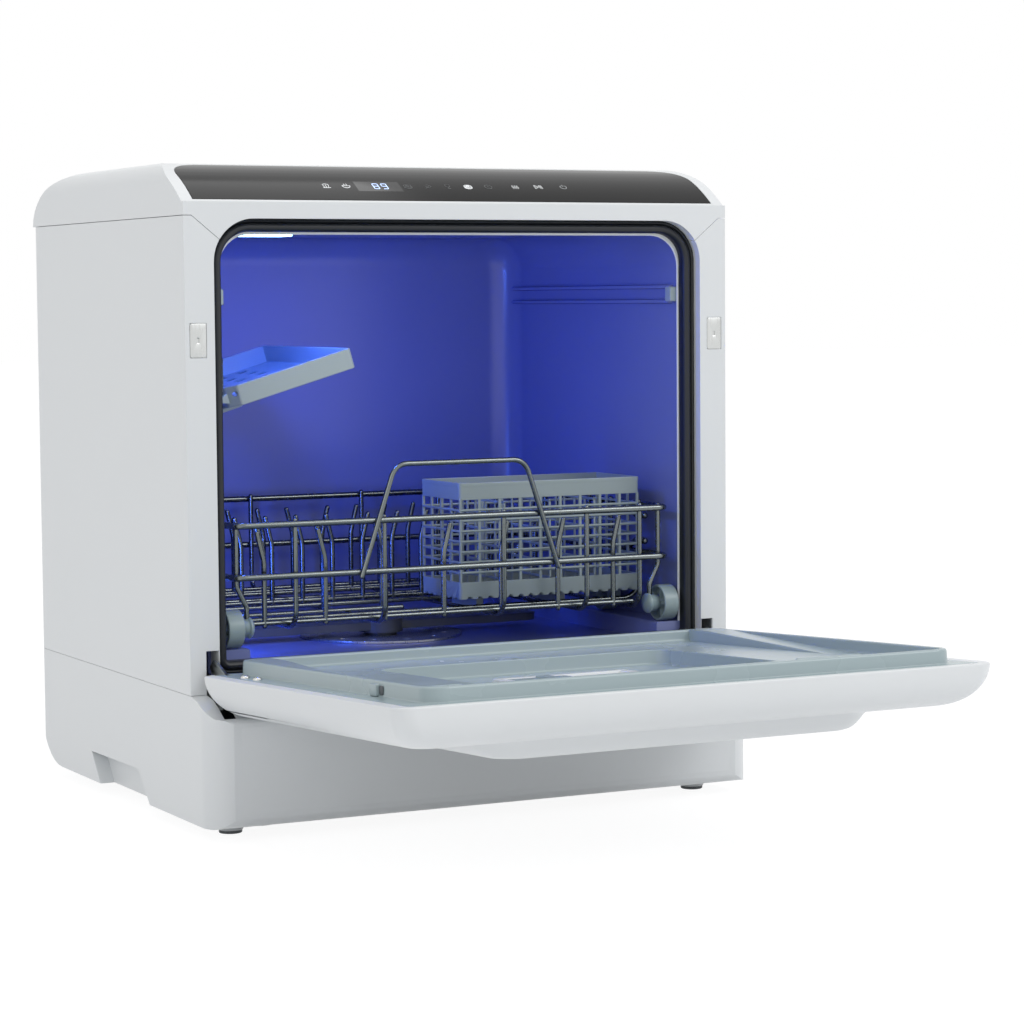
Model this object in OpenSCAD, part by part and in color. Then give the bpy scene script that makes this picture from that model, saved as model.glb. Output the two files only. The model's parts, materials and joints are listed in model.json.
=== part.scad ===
// Countertop dishwasher: cabinet, drop-down door and pull-out rack.
// Origin on the worktop, midway between the open door's front edge and the rear, +Z up, front to -Y.
// Inside the modules y runs back from the face of the front frame, and place() moves that face home.

/* [Cabinet] */
// Width across the side panels
body_w = 430; // [420:2:450]
// Depth of the side panels, from the front frame to their rear edge
side_d = 330; // [326:2:350]
// Height of the seam between the base and the side panels
base_h = 97.5; // [94:0.5:104]
// Height of the side panels
side_h = 330; // [326:1:350]
// Height of the top cover above the side panels
cover_h = 38.5; // [36:0.5:46]
// How far the base stands in front of the front frame
base_out = 40; // [38:1:46]
// How far the rear cover stands behind the side panels
rear_out = 42; // [30:1:60]
// Wall of the moulded shells
shell_t = 2.5; // [2:0.1:3]
// Gap that shows as a seam between outer panels
seam = 0.4; // [0.2:0.1:0.8]
// Height of the feet below the base
foot_h = 9; // [7:0.5:12]
// Radius of the base's front vertical corners
corner_r = 22; // [16:1:26]

/* [Opening and tub] */
// Width of each jamb beside the opening
jamb_w = 22; // [20:0.5:24]
// Height of the sill between the base and the opening
sill_h = 12.5; // [12:0.5:13]
// Corner radius of the opening
open_r = 30; // [24:1:34]
// Depth of the reveal in front of the gasket
reveal = 8; // [8:0.5:9]
// Depth of the gasket
gasket_d = 8; // [6:0.5:9]
// Width of the gasket's face
gasket_w = 9; // [7:0.5:10]
// How far the tub's walls stand in from the opening
tub_inset = 7; // [6:0.5:8]
// Inside depth of the tub
tub_d = 281; // [279:1:284]
// Wall of the tub
tub_t = 3; // [2:0.5:4]
// Height of the tub floor above the base's seam
tub_floor = 14.5; // [14:0.5:15]
// Height of the wheel ledges above the tub floor
ledge_h = 13.7; // [13.5:0.1:13.7]

/* [Door] */
// Length of the door from hinge edge to top edge
door_len = 325; // [321:1:326]
// Height of the hinge pins above the base's seam
hinge_up = 4; // [4:0.5:5]
// How far the hinge pins stand in front of the front frame
hinge_out = 15; // [15:0.5:16]
// Upward tilt of the open door, in degrees
door_tilt = 3; // [2.8:0.1:3]
// Thickness of the door shell, rim to outer face
door_t = 28; // [26:1:28]
// How far the door's edges curve in from rim to outer face
door_curve = 26; // [22:1:28]
// Width of the raised centre plateau
plateau_w = 286; // [240:2:300]
// Height of the raised centre plateau
plateau_h = 12.5; // [8:0.5:14]
// Height of the liner's rim above the door's rim
liner_rim = 10; // [9:0.5:10]

/* [Rack] */
// Gap from the tub's walls to the centres of the side rails
rail_clear = 12; // [11:0.5:14]
// Distance between the front and rear rails
rack_len = 262; // [258:1:263]
// Distance from the front frame back to the front rail when the rack is home
rack_home = 17; // [17:0.5:19]
// Diameter of the rail wire
rail_d = 4.8; // [4:0.2:5.2]
// Diameter of the other wires
wire_d = 3.8; // [3:0.2:4.2]
// Height of the rack's floor wires above the wheel ledges
floor_up = 15.2; // [15:0.2:16]
// Height of the low rail above the floor wires
low_rail_up = 34.5; // [30:0.5:38]
// Height of the top rail above the low rail
top_rail_up = 36.5; // [34:0.5:40]
// Height of the shelf wire above the top rail
shelf_up = 87; // [80:1:92]
// Height of the loop above the shelf wire
loop_up = 34; // [26:1:38]
// Diameter of the wheels
wheel_d = 27; // [25:0.5:27]
// Width of the wheels
wheel_w = 12; // [10:0.5:12]
// Running clearance of wheels and hinges
play = 0.05; // [0.03:0.01:0.1]

/* [Shelf and basket] */
// Length of the cup shelf, front to back
shelf_len = 165; // [150:1:175]
// Width of the cup shelf
shelf_w = 100; // [80:1:110]
// Upward slope of the cup shelf, in degrees
shelf_slope = 16; // [10:1:20]
// Height of the cup shelf's walls
shelf_wall = 15; // [12:1:18]
// Width of the cutlery basket
basket_w = 152; // [140:1:156]
// Depth of the cutlery basket
basket_d = 66; // [60:1:66]
// Height of the cutlery basket
basket_h = 86; // [80:1:100]

/* [Hidden] */
$fn = 48;

// Cabinet places: y back from the front frame, z up from the worktop
cover_z = base_h + side_h;
top_z = cover_z + cover_h;
head_h = 2;              // height of the screw heads
rear_y = side_d + rear_out + head_h;
half_w = body_w / 2;
open_w = body_w - 2 * jamb_w;
tub_w = open_w - 2 * tub_inset;
foot_r = 9;
foot_x = half_w - 29;
foot_front = 3;
foot_rear = side_d - 44;
base_tail = 45;          // length of the base's rounded rear corner
base_rise = 39;          // height of the base's rounded rear corner
ledge_drop = 12.5;       // fall of the base's ledge below its seam
cover_tail = 105;        // length of the cover's rounded rear
cover_lip = 9.5;         // upright lip of the cover below the glass
nose_d = 72;             // depth of the cover's curved nose
nose_ease = 1.9;         // how fast the nose levels out
cover_side_r = 14;       // rounding along the cover's sides
nose_z = cover_z + cover_lip;

// Opening and tub
open_z0 = base_h + sill_h;
open_z1 = cover_z - 2;
open_h = open_z1 - open_z0;
frame_d = reveal + gasket_d;
tub_y0 = frame_d;
tub_y1 = tub_y0 + tub_d;
tub_z0 = base_h + tub_floor;
tub_z1 = open_z1 - gasket_w + 1.5;
ledge_z = tub_z0 + ledge_h;
ledge_w = 22;
arm_y = tub_y0 + tub_d / 2;   // the spray arm's axis
sump_r = 62;
filter_r = 42;

// Door, in its own frame: x across, u out from the hinge pins, h above them
hinge_y = -hinge_out;
hinge_z = base_h + hinge_up;
door_u0 = 1.5;
door_front = hinge_out + (door_u0 + door_len) * cos(door_tilt) - (hinge_out - 3) * sin(door_tilt);
front_y = (door_front - rear_y) / 2;
door_rim = hinge_out - 3;
door_face = door_rim - door_t;
door_wall = 2.5;
liner_edge = half_w - 25;
liner_u0 = 9;
liner_u1 = liner_u0 + 311;
liner_top = door_rim + liner_rim;
liner_r = 14;
track_end = 200;         // how far out from the hinge pins the runways reach
track_gap = 0.4;

// Rack, in its own frame: y back from the front rail's centre
rail_x = tub_w / 2 - rail_clear;
axle_z = ledge_z + 0.3 + wheel_d / 2;
floor_z = ledge_z + floor_up;
low_rail_z = floor_z + low_rail_up;
top_rail_z = low_rail_z + top_rail_up;
shelf_z = top_rail_z + shelf_up;
loop_z = shelf_z + loop_up;
wheel_x = rail_x - 5;    // inner face of the wheels
track_in = wheel_x - 3;  // inner edge of the door's runways
wheel_y = [8, 98, 235];
axle_r = 2.5;
hub_r = 8;
hub_len = 10;
cross_y = [37, 116, 166, 212, 250];
stub_y = [81, 190];
long_x = [47 - rail_x, 116 - rail_x, rail_x - 136, rail_x - 67, rail_x - 22];
post_y = [62, 135, 208];
handle_low = 79;
handle_top = 52;
handle_rise = 40;
shelf_y0 = 38;
basket_x = rail_x - 160;
basket_y = 28;
sides = 8;

// ---- helpers ----

// Moves a piece from the front frame's own frame to the part's
module place() translate([0, front_y, 0]) children();

// Puts a piece drawn in the door's frame on the open door
module on_door() place() translate([0, hinge_y, hinge_z]) rotate([-door_tilt, 0, 0]) children();

// Puts a piece drawn in the rack's frame on the rack at home
module on_rack() place() translate([0, rack_home, 0]) children();

module both_sides() {
    children();
    mirror([1, 0, 0]) children();
}

// Extrudes a profile drawn as (y, z) across x
module across(x0, x1) translate([x0, 0, 0]) rotate([90, 0, 90]) linear_extrude(x1 - x0) children();

// Extrudes a profile drawn as (x, z) back along y
module back(y0, y1) translate([0, y1, 0]) rotate([90, 0, 0]) linear_extrude(y1 - y0) children();

module block(x0, x1, y0, y1, z0, z1) translate([x0, y0, z0]) cube([x1 - x0, y1 - y0, z1 - z0]);

// Rectangle from (x0, y0) to (x1, y1) with all corners rounded
module soft_rect(x0, x1, y0, y1, r) {
    translate([x0 + r, y0]) square([x1 - x0 - 2 * r, y1 - y0]);
    translate([x0, y0 + r]) square([x1 - x0, y1 - y0 - 2 * r]);
    for (x = [x0 + r, x1 - r], y = [y0 + r, y1 - r]) translate([x, y]) circle(r);
}

// Rectangle with its two corners at y1 rounded
module arch(x0, x1, y0, y1, r) {
    translate([x0, y0]) square([x1 - x0, y1 - y0 - r]);
    translate([x0 + r, y0]) square([x1 - x0 - 2 * r, y1 - y0]);
    for (x = [x0 + r, x1 - r]) translate([x, y1 - r]) circle(r);
}

// Points of an elliptic arc
function arc(cx, cy, rx, ry, a0, a1, n) =
    [for (i = [0 : n]) let (a = a0 + (a1 - a0) * i / n) [cx + rx * cos(a), cy + ry * sin(a)]];

function unit(v) = v / norm(v);

// A wire's corner points with each inner corner turned into an arc of radius r
function bent(p, r, n = 3) = [
    p[0],
    for (i = [1 : len(p) - 2])
        let (
            a = unit(p[i - 1] - p[i]), b = unit(p[i + 1] - p[i]),
            half = acos(a * b) / 2, reach = r / tan(half),
            c = p[i] + unit(a + b) * r / sin(half),
            from = p[i] + a * reach - c, turn = unit(cross(cross(a, b), from)) * r
        )
        for (k = [0 : n]) let (t = (180 - 2 * half) * k / n) c + from * cos(t) - turn * sin(t),
    p[len(p) - 1]
];

// A round wire swept along points that lie in one plane, whose normal is given
module wire(p, d, normal) {
    last = len(p) - 1;
    rings = [for (i = [0 : last])
        let (t = unit(p[min(i + 1, last)] - p[max(i - 1, 0)]), b = cross(t, normal))
        for (k = [0 : sides - 1]) let (a = 360 * (k + 0.5) / sides)
            p[i] + (normal * cos(a) + b * sin(a)) * d / 2];
    walls = [for (i = [0 : last - 1], k = [0 : sides - 1])
        let (j = (k + 1) % sides)
        [i * sides + k, (i + 1) * sides + k, (i + 1) * sides + j, i * sides + j]];
    polyhedron(rings, concat([[for (k = [0 : sides - 1]) k]], walls,
        [[for (k = [sides - 1 : -1 : 0]) last * sides + k]]), convexity = 8);
}

// The rounded end that a wire leaves where it crosses a rail
module wire_end(p, d) hull() for (z = [-d / 2, d / 4]) translate(p + [0, 0, z]) sphere(d / 2, $fn = 6);

// ---- cabinet ----

// Side view of the base, with its walls moved in by t
module base_side(t = 0) {
    z0 = foot_h + t;
    polygon(concat(
        [[t, base_h - t], [-12, base_h - 2 - t], [-22, base_h - 6.5 - t],
            [-base_out + 8, base_h - ledge_drop - t]],
        arc(-base_out + 6 + t, base_h - ledge_drop - 6 - t, 6, 6, 90, 180, 3),
        arc(-base_out + 10 + t, z0 + 10, 10, 10, 180, 270, 4),
        arc(side_d - base_tail - t, z0 + base_rise, base_tail, base_rise, 270, 360, 8),
        [[side_d - t, base_h]]));
}

// Plan of the base and of the side panels' rear corners
module base_plan(t = 0) {
    soft_rect(-half_w + t, half_w - t, -base_out + t, side_d / 2, corner_r - t);
    soft_rect(-half_w + t, half_w - t, side_d / 4, side_d - t, 8 - t / 2);
}

recess_y = [85, 212];
recess_h = 23;
slot_x = [half_w - 21.5, half_w - 12];

module base_shell() place() color("gainsboro") difference() {
    union() {
        intersection() {
            across(-half_w, half_w) base_side();
            translate([0, 0, foot_h - 1]) linear_extrude(base_h) base_plan();
        }
        // sill below the opening
        block(-open_w / 2 + 0.5, open_w / 2 - 0.5, 0, shell_t, base_h - 1, open_z0 - 0.5);
        // bosses over the feet and the pads beside the front feet
        both_sides() {
            for (y = [foot_front, foot_rear])
                translate([foot_x, y, foot_h - 3]) cylinder(r = foot_r + 2, h = 5.2);
            translate([foot_x - 16, foot_front - 14, foot_h - 2]) cylinder(r = 10, h = 4);
        }
    }
    // hollow, open at the top behind the front wall
    difference() {
        intersection() {
            across(-half_w, half_w) base_side(shell_t);
            translate([0, 0, foot_h + shell_t]) linear_extrude(base_h) base_plan(shell_t);
        }
        // carry recesses keep a wall behind them
        both_sides() across(half_w - 14, half_w) recess_shape(shell_t);
    }
    block(-half_w + shell_t, half_w - shell_t, shell_t, side_d - shell_t, base_h - 4, base_h + 1);
    // carry recess low in each side
    both_sides() across(half_w - 11, half_w + 1) recess_shape(0);
    // slots that the hinge arms swing through
    both_sides() block(slot_x[0], slot_x[1], -34, shell_t + 1, base_h - 21, base_h + 1);
    // openings for the inlet, drain and power at the rear
    for (p = port_places) translate([p[0], side_d - 10, p[1]]) rotate([-90, 0, 0])
        cylinder(r = p[2], h = 20);
}

module recess_shape(t) polygon([
    [recess_y[0] - t, foot_h - 1], [recess_y[0] + 25 - t, foot_h + recess_h + t],
    [recess_y[1] + t, foot_h + recess_h + t - 1], [recess_y[1] - 20 + t, foot_h - 1]]);

// Front face of the cabinet above the base, with the opening cut out
module front_face() difference() {
    translate([-half_w, base_h + seam / 2]) square([body_w, nose_z - base_h - seam / 2]);
    arch(-open_w / 2, open_w / 2, base_h - 1, open_z1, open_r);
}

// The part of the front face that belongs to the top cover: mitred to the opening's corners
mitre_x = [half_w - 6, open_w / 2 - 5];
mitre_z = open_z1 - open_r + 15;
module header_zone(s) polygon([
    [-half_w - 1, nose_z + 1], [-half_w - 1, cover_z + s], [-mitre_x[0], cover_z + s],
    [-mitre_x[1], mitre_z + s], [-mitre_x[1] + 12, mitre_z + s], [mitre_x[1] - 12, mitre_z + s],
    [mitre_x[1], mitre_z + s], [mitre_x[0], cover_z + s], [half_w + 1, cover_z + s],
    [half_w + 1, nose_z + 1]]);

// Ring that lines the opening back to the gasket and the tub
module reveal_ring() difference() {
    arch(-open_w / 2 - shell_t, open_w / 2 + shell_t, base_h + seam / 2, open_z1 + shell_t,
        open_r + shell_t);
    arch(-open_w / 2, open_w / 2, base_h - 1, open_z1, open_r);
}

module side_panel() place() color("whitesmoke") {
    z0 = base_h + seam / 2;
    // side wall turned in at the rear
    translate([0, 0, z0]) linear_extrude(cover_z - seam / 2 - z0) difference() {
        soft_rect(0, half_w, -20, side_d, 8);
        translate([-1, -21]) square([half_w + 2, 21]);
        translate([-1, -1]) square([half_w - 8 - shell_t, side_d + 2]);
        soft_rect(-20, half_w - shell_t, -20, side_d - shell_t, 8 - shell_t);
    }
    block(half_w - 30, half_w - 10, side_d - shell_t, side_d, z0, cover_z - seam / 2);
    // front jamb and its reveal
    difference() {
        intersection() {
            union() {
                back(0, shell_t) front_face();
                back(0, frame_d) reveal_ring();
            }
            translate([0, -1, 0]) cube([half_w, frame_d + 2, cover_z + 30]);
        }
        back(-1, frame_d + 1) header_zone(-seam / 2);
        // slot for the hinge arm, and the seat of the catch plate
        block(slot_x[0], slot_x[1], -1, frame_d + 1, base_h - 1, base_h + 30.5);
        block(catch_x[0], catch_x[1], -1, catch_t, catch_z[0], catch_z[1]);
    }
}

catch_x = [half_w - 16, half_w - 3.5];
catch_z = [330, 354];
catch_t = 1;

module side_panel_right() side_panel();
module side_panel_left() mirror([1, 0, 0]) side_panel();

module catch_plates() place() color("silver") both_sides() difference() {
    block(catch_x[0] + 0.2, catch_x[1] - 0.2, 0.1, catch_t, catch_z[0] + 0.2, catch_z[1] - 0.2);
    translate([(catch_x[0] + catch_x[1]) / 2 + 1, -1, (catch_z[0] + catch_z[1]) / 2])
        rotate([-90, 0, 0]) cylinder(r = 1.6, h = 4);
}

// Rise of the nose at a distance s, from 0 at the lip to 1 at the flat top
function nose(s) = nose_z + (top_z - nose_z) * (1 - pow(1 - s, nose_ease));
nose_y0 = 3;
function nose_line(s0, s1, dz, n) =
    [for (i = [0 : n]) let (s = s0 + (s1 - s0) * i / n) [nose_y0 + nose_d * s, nose(s) + dz]];

// Side view of the top cover, with its walls moved in by t
module cover_side(t = 0) polygon(concat(
    [[t, cover_z + seam / 2 - t], [t, nose_z - 3]],
    [for (p = nose_line(0, 1, -t, 10)) [p[0] + t / 2, p[1]]],
    arc(side_d - cover_tail, cover_z, cover_tail - t, cover_h - t, 90, 0, 10),
    [[side_d - t, cover_z + seam / 2 - t]]));

glass_s = [0.03, 0.8];
glass_t = 2.5;
glass_x = half_w - 9;
glass_r = 26;

// Plan of the glass, grown by g: square corners in front, rounded ones behind
module glass_plan(g = 0) {
    y0 = nose_y0 + nose_d * glass_s[0] - g;
    y1 = nose_y0 + nose_d * glass_s[1] + g;
    arch(-glass_x - g, glass_x + g, y0, y1, glass_r + g);
}

fill_x = -118;
fill_y = 178;
fill_r = 36;

module top_cover() place() color("white") difference() {
    union() {
        difference() {
            intersection() {
                across(-half_w, half_w) cover_side();
                back(-1, side_d + 1) arch(-half_w, half_w, base_h, top_z, cover_side_r);
            }
            intersection() {
                across(-half_w + shell_t, half_w - shell_t) cover_side(shell_t);
                back(-1, side_d + 1) arch(-half_w + shell_t, half_w - shell_t, base_h,
                    top_z - shell_t, cover_side_r - shell_t);
            }
        }
        // bed under the glass
        intersection() {
            across(-glass_x - 3, glass_x + 3) polygon(concat(
                nose_line(glass_s[0], glass_s[1] + 0.04, 0, 8),
                [for (i = [8 : -1 : 0]) nose_line(glass_s[0], glass_s[1] + 0.04, -5, 8)[i]]));
            translate([0, 0, cover_z]) linear_extrude(cover_h + 1) glass_plan(2.5);
        }
        // header strip over the opening, and its reveal
        intersection() {
            union() {
                back(0, shell_t) front_face();
                back(0, frame_d) reveal_ring();
            }
            back(-1, frame_d + 1) header_zone(seam / 2);
        }
        // collar of the fill port
        translate([fill_x, fill_y, top_z - 14]) cylinder(r = fill_r + 7.2, h = 14 - shell_t / 2);
        block(fill_x - 24, fill_x + 24, fill_y + fill_r - 6, lid_y + 8, top_z - 12, top_z - 1);
        block(fill_x - 16, fill_x + 16, fill_y - fill_r - 15, fill_y - fill_r - 2, top_z - 9, top_z - 1);
    }
    // seat of the glass
    glass_slab(0.15, 1);
    // fill port, with a shallow seat for its lid and the finger notch in front
    translate([fill_x, fill_y, top_z - 20]) cylinder(r = fill_r, h = 40);
    translate([fill_x, fill_y + 0.6, top_z - 4]) cylinder(r = fill_r + 4.9, h = 10);
    block(fill_x - 16.3, fill_x + 16.3, fill_y + fill_r - 4, lid_y + 5, top_z - 9, top_z + 1);
    translate([fill_x - 19.5, lid_y, lid_z]) rotate([0, 90, 0]) cylinder(r = 1.5, h = 39);
    block(fill_x - 12, fill_x + 12, fill_y - fill_r - 12, fill_y - fill_r, top_z - 6, top_z + 1);
}

// The curved slab of the control glass, with its outline grown by g and its face raised by up
module glass_slab(g, up) intersection() {
    across(-half_w, half_w) polygon(concat(
        nose_line(glass_s[0] - 0.02, glass_s[1] + 0.03, up, 10),
        [for (i = [10 : -1 : 0]) nose_line(glass_s[0] - 0.02, glass_s[1] + 0.03, -glass_t - g, 10)[i]]));
    translate([0, 0, cover_z]) linear_extrude(cover_h + 5) glass_plan(g);
}

module control_glass() place() color([0.06, 0.06, 0.06]) glass_slab(0, 0);

// Circuit board on posts under the cover's nose, with the display module on it
module control_board() place() color("darkgreen") {
    board_z = nose_z + 2;
    block(-130, 130, 24, 60, board_z, board_z + 1.6);
    block(-60, -10, 34, 50, board_z + 1.6, board_z + 9);
    for (x = [-110, -85, 20, 45, 70, 95]) translate([x, 42, board_z + 1.6]) cylinder(r = 4, h = 5);
    // feet that stand on the tub's roof
    for (x = [-120, 120], y = [30, 54])
        translate([x, y, tub_z1 + tub_t]) cylinder(r = 3, h = board_z - tub_z1 - tub_t);
}

// ---- rear ----

// Places of the rear ports in the base's rear wall: x, z and radius of the hole
port_places = [[120, 64, 14], [70, 64, 10.7], [-120, 64, 13]];

rear_x = half_w - 22;
module rear_cover() place() color("gainsboro") difference() {
    z0 = base_h - 8;
    z1 = cover_z - 14;
    union() {
        back(side_d, side_d + rear_out) soft_rect(-rear_x, rear_x, z0, z1, 18);
    }
    back(side_d - 1, side_d + rear_out - shell_t)
        soft_rect(-rear_x + shell_t, rear_x - shell_t, z0 + shell_t, z1 - shell_t, 18 - shell_t);
    // outlet grille of the drying fan
    for (i = [0 : 8]) block(fan_x - 32, fan_x + 32, side_d + rear_out - 5, side_d + rear_out + 1,
        230 + 9 * i, 234 + 9 * i);
}

// ---- tub ----

module tub_section(g) arch(-tub_w / 2 - g, tub_w / 2 + g, tub_z0 - g, tub_z1 + g, open_r - 4 + g);

module tub() place() color([0.75, 0.8, 0.86]) {
    difference() {
        back(tub_y0, tub_y1 + tub_t) tub_section(tub_t);
        back(tub_y0 - 1, tub_y1) tub_section(0);
        translate([0, arm_y, tub_z0 - 10]) cylinder(r = sump_r - 6, h = 20);
    }
    // ledges that the rack's wheels run on, and guide ribs above the top rail
    both_sides() {
        block(tub_w / 2 - ledge_w, tub_w / 2 + 1, tub_y0, tub_y1 + 1, tub_z0 - 1, ledge_z);
        for (z = stop_z) block(tub_w / 2 - 4, tub_w / 2 + 1, tub_y0 + 12, tub_y1 + 1, z, z + 3);
    }
    // flange that closes the gap to the reveal
    difference() {
        back(tub_y0, tub_y0 + 3) arch(-open_w / 2 - shell_t, open_w / 2 + shell_t, tub_z0 - tub_t,
            open_z1 + shell_t, open_r + shell_t);
        back(tub_y0 - 1, tub_y0 + 4) tub_section(0);
    }
}

stop_z = [open_z1 - 61, open_z1 - 50];

module rack_stops() place() color("gray") both_sides() {
    block(tub_w / 2 - 8, tub_w / 2, tub_y0 + 3, tub_y0 + 12, stop_z[0] - 3, stop_z[1] + 6);
}

module tub_gasket() place() color([0.1, 0.11, 0.13]) difference() {
    back(reveal, tub_y0) arch(-open_w / 2, open_w / 2, open_z0, open_z1, open_r);
    back(reveal - 1, tub_y0 + 1) arch(-open_w / 2 + gasket_w, open_w / 2 - gasket_w,
        open_z0 + gasket_w, open_z1 - gasket_w, open_r - gasket_w);
}

module cavity_lamp() place() color("aliceblue") {
    x0 = -tub_w / 2 + open_r;
    block(x0, x0 + 34, tub_y0 + 14, tub_y0 + 36, tub_z1 - 4, tub_z1);
}

sump_h = 44;
spout_z = tub_z0 - tub_t - 28;
spout_end = sump_r + 10;
module sump() place() translate([0, arm_y, 0]) color("dimgray") difference() {
    union() {
        translate([0, 0, tub_z0 - tub_t - sump_h]) cylinder(r = sump_r, h = sump_h);
        for (a = [0, 90, 180]) rotate(a) translate([0, sump_r - 6, spout_z]) rotate([-90, 0, 0])
            cylinder(r = 11, h = spout_end - sump_r + 6);
    }
    translate([0, 0, tub_z0 - tub_t - sump_h + 3]) cylinder(r = sump_r - 4, h = sump_h);
    for (a = [0, 90, 180]) rotate(a) translate([0, sump_r - 10, spout_z]) rotate([-90, 0, 0])
        cylinder(r = 7, h = 30);
}

module filter() place() translate([0, arm_y, 0]) color("lightgray") {
    // flat screen with a cylindrical cup below and a grip ring above, round the bearing's post
    difference() {
        union() {
            translate([0, 0, tub_z0]) cylinder(r = sump_r, h = 2);
            translate([0, 0, tub_z0 - tub_t - 36]) cylinder(r = filter_r, h = 37 + tub_t);
        }
        translate([0, 0, tub_z0 - tub_t - 34]) cylinder(r = filter_r - 2, h = 33);
        translate([0, 0, tub_z0 - 50]) cylinder(r = 13, h = 60);
        translate([0, 0, tub_z0 + 1]) cylinder(r = filter_r - 2, h = 3);
        for (a = [0 : 30 : 330]) rotate(a) translate([filter_r + 7, 0, tub_z0 - 10])
            cylinder(r = 2.6, h = 20);
    }
}

// Hollow post that feeds the spray arm, standing in the sump
module spray_bearing() place() translate([0, arm_y, 0]) color("gray") difference() {
    foot_z = tub_z0 - tub_t - sump_h + 3;
    union() {
        translate([0, 0, foot_z]) cylinder(r = 12, h = arm_z - 0.1 - foot_z);
        translate([0, 0, foot_z]) cylinder(r = 8, h = arm_z + 6 - foot_z);
    }
    translate([0, 0, foot_z + 3]) cylinder(r = 5.5, h = 80);
}

arm_len = 132;
arm_z = tub_z0 + 3.2;
module spray_arm() place() translate([0, arm_y, arm_z]) color("lightslategray") difference() {
    union() {
        cylinder(r = 17, h = 10);
        translate([0, 0, 2]) linear_extrude(6) {
            soft_rect(-arm_len, arm_len, -11, 11, 10.9);
        }
    }
    translate([0, 0, -1]) cylinder(r = 8 + play, h = 9);
    for (x = [-118 : 22 : 118]) if (abs(x) > 20) translate([x, 3, 6]) cylinder(r = 1.4, h = 4);
}

// ---- works in the base and behind the tub ----

floor_in = foot_h + shell_t;

module wash_pump() place() color("dimgray") {
    // pump chamber, motor and foot, axis along y
    translate([-118, 150, floor_in + 34]) rotate([-90, 0, 0]) {
        difference() {
            cylinder(r = 32, h = 26);
            translate([0, 0, 3]) cylinder(r = 27, h = 20);
            translate([0, 0, -1]) cylinder(r = 9, h = 6);
            translate([0, 0, 20]) cylinder(r = 4 + play, h = 10);
        }
        difference() {
            translate([0, 0, 26]) cylinder(r = 24, h = 48);
            translate([0, 0, 20]) cylinder(r = 4 + play, h = 24);
        }
        translate([31, 0, 13]) rotate([0, 90, 0]) cylinder(r = 8, h = 12);
    }
    block(-140, -96, 178, 218, floor_in, floor_in + 14);
}

module pump_impeller() place() translate([-118, 150, floor_in + 34]) rotate([-90, 0, 0])
    color("ivory") difference() {
        union() {
            translate([0, 0, 5]) cylinder(r = 24, h = 3);
            for (a = [0 : 60 : 300]) rotate(a) translate([10, -1, 7.9]) cube([13, 2, 9]);
            translate([0, 0, 5]) cylinder(r = 10.5, h = 12);
            translate([0, 0, 16]) cylinder(r = 4, h = 26);
        }
        translate([0, 0, 4]) cylinder(r = 5, h = 6);
    }

pump_y = 215;
module drain_pump() place() color("dimgray") {
    translate([95, pump_y, floor_in + 26]) {
        cylinder(r = 25, h = 30);
        translate([0, 0, 29.9]) cylinder(r = 17, h = 14);
        translate([-36, 0, 10]) rotate([0, 90, 0]) cylinder(r = 8, h = 20);
        translate([0, 16, 10]) rotate([-90, 0, 0]) cylinder(r = 8, h = 20);
    }
    translate([95, pump_y, floor_in]) cylinder(r = 30, h = 26);
}

heater_x = [60, 150];
heater_z = floor_in + 34;
module heater() place() translate([0, 70, 0]) color("silver") difference() {
    union() {
        translate([heater_x[0], 0, heater_z]) rotate([0, 90, 0])
            cylinder(r = 20, h = heater_x[1] - heater_x[0]);
        block(heater_x[0] + 5, heater_x[1] - 5, -16, 16, floor_in, floor_in + 24);
    }
    translate([heater_x[0] + 3, 0, heater_z]) rotate([0, 90, 0])
        cylinder(r = 16, h = heater_x[1] - heater_x[0] - 6);
    translate([heater_x[0] - 1, 0, heater_z]) rotate([0, 90, 0]) cylinder(r = 5, h = 200);
}

// Runs of hose between tank, sump, pumps and heater, each a separate solid
module hoses() place() color([0.2, 0.2, 0.22]) {
    z = heater_z;
    // sump to wash pump
    pipe([[-spout_end, arm_y, spout_z], [-100, arm_y, spout_z], [-100, 118, spout_z],
        [-118, 118, spout_z], [-118, 118, z], [-118, 150, z]], 14);
    // wash pump to heater, and heater to the spray bearing's foot
    pipe([[-75, 163, z], [-56, 163, z], [-56, 70, z], [heater_x[0], 70, z]], 14);
    pipe([[heater_x[1], 70, z], [172, 70, z], [172, arm_y, z], [0, arm_y, z],
        [0, arm_y, tub_z0 - tub_t - sump_h]], 14);
    // sump to drain pump
    pipe([[0, arm_y + spout_end, spout_z], [0, arm_y + spout_end + 14, spout_z],
        [0, arm_y + spout_end + 14, floor_in + 36], [40, arm_y + spout_end + 14, floor_in + 36],
        [40, pump_y, floor_in + 36], [59, pump_y, floor_in + 36]], 14);
    // drain pump to spigot
    pipe([[95, pump_y + 36, floor_in + 36], [95, 275, floor_in + 36],
        [port_places[1][0], 275, floor_in + 36], [port_places[1][0], 275, port_places[1][1]],
        [port_places[1][0], port_y - 12, port_places[1][1]]], 15);
    // inlet valve to tank
    pipe([[port_places[0][0], port_y - 15, port_places[0][1] + 20], [port_places[0][0], port_y - 15, 112],
        [40, port_y - 15, 112], [40, port_y - 15, tank_z[0]]], 12);
    // tank down to the sump
    pipe([[-140, port_y - 15, tank_z[0]], [-140, port_y - 15, 84], [-140, 268, 84], [-40, 268, 84],
        [-40, arm_y + sump_r + 20, 84], [-40, arm_y + 50, 84]], 10);
}

// Hose: one straight cylinder per leg with a ball at each corner
module pipe(p, d) {
    for (i = [0 : len(p) - 2]) leg(p[i], p[i + 1], d);
    for (i = [1 : len(p) - 2]) translate(p[i]) sphere(d = d);
}

module leg(a, b, d) {
    v = b - a;
    translate(a) rotate([0, acos(v[2] / norm(v)), atan2(v[1], v[0])]) cylinder(d = d, h = norm(v));
}

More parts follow.
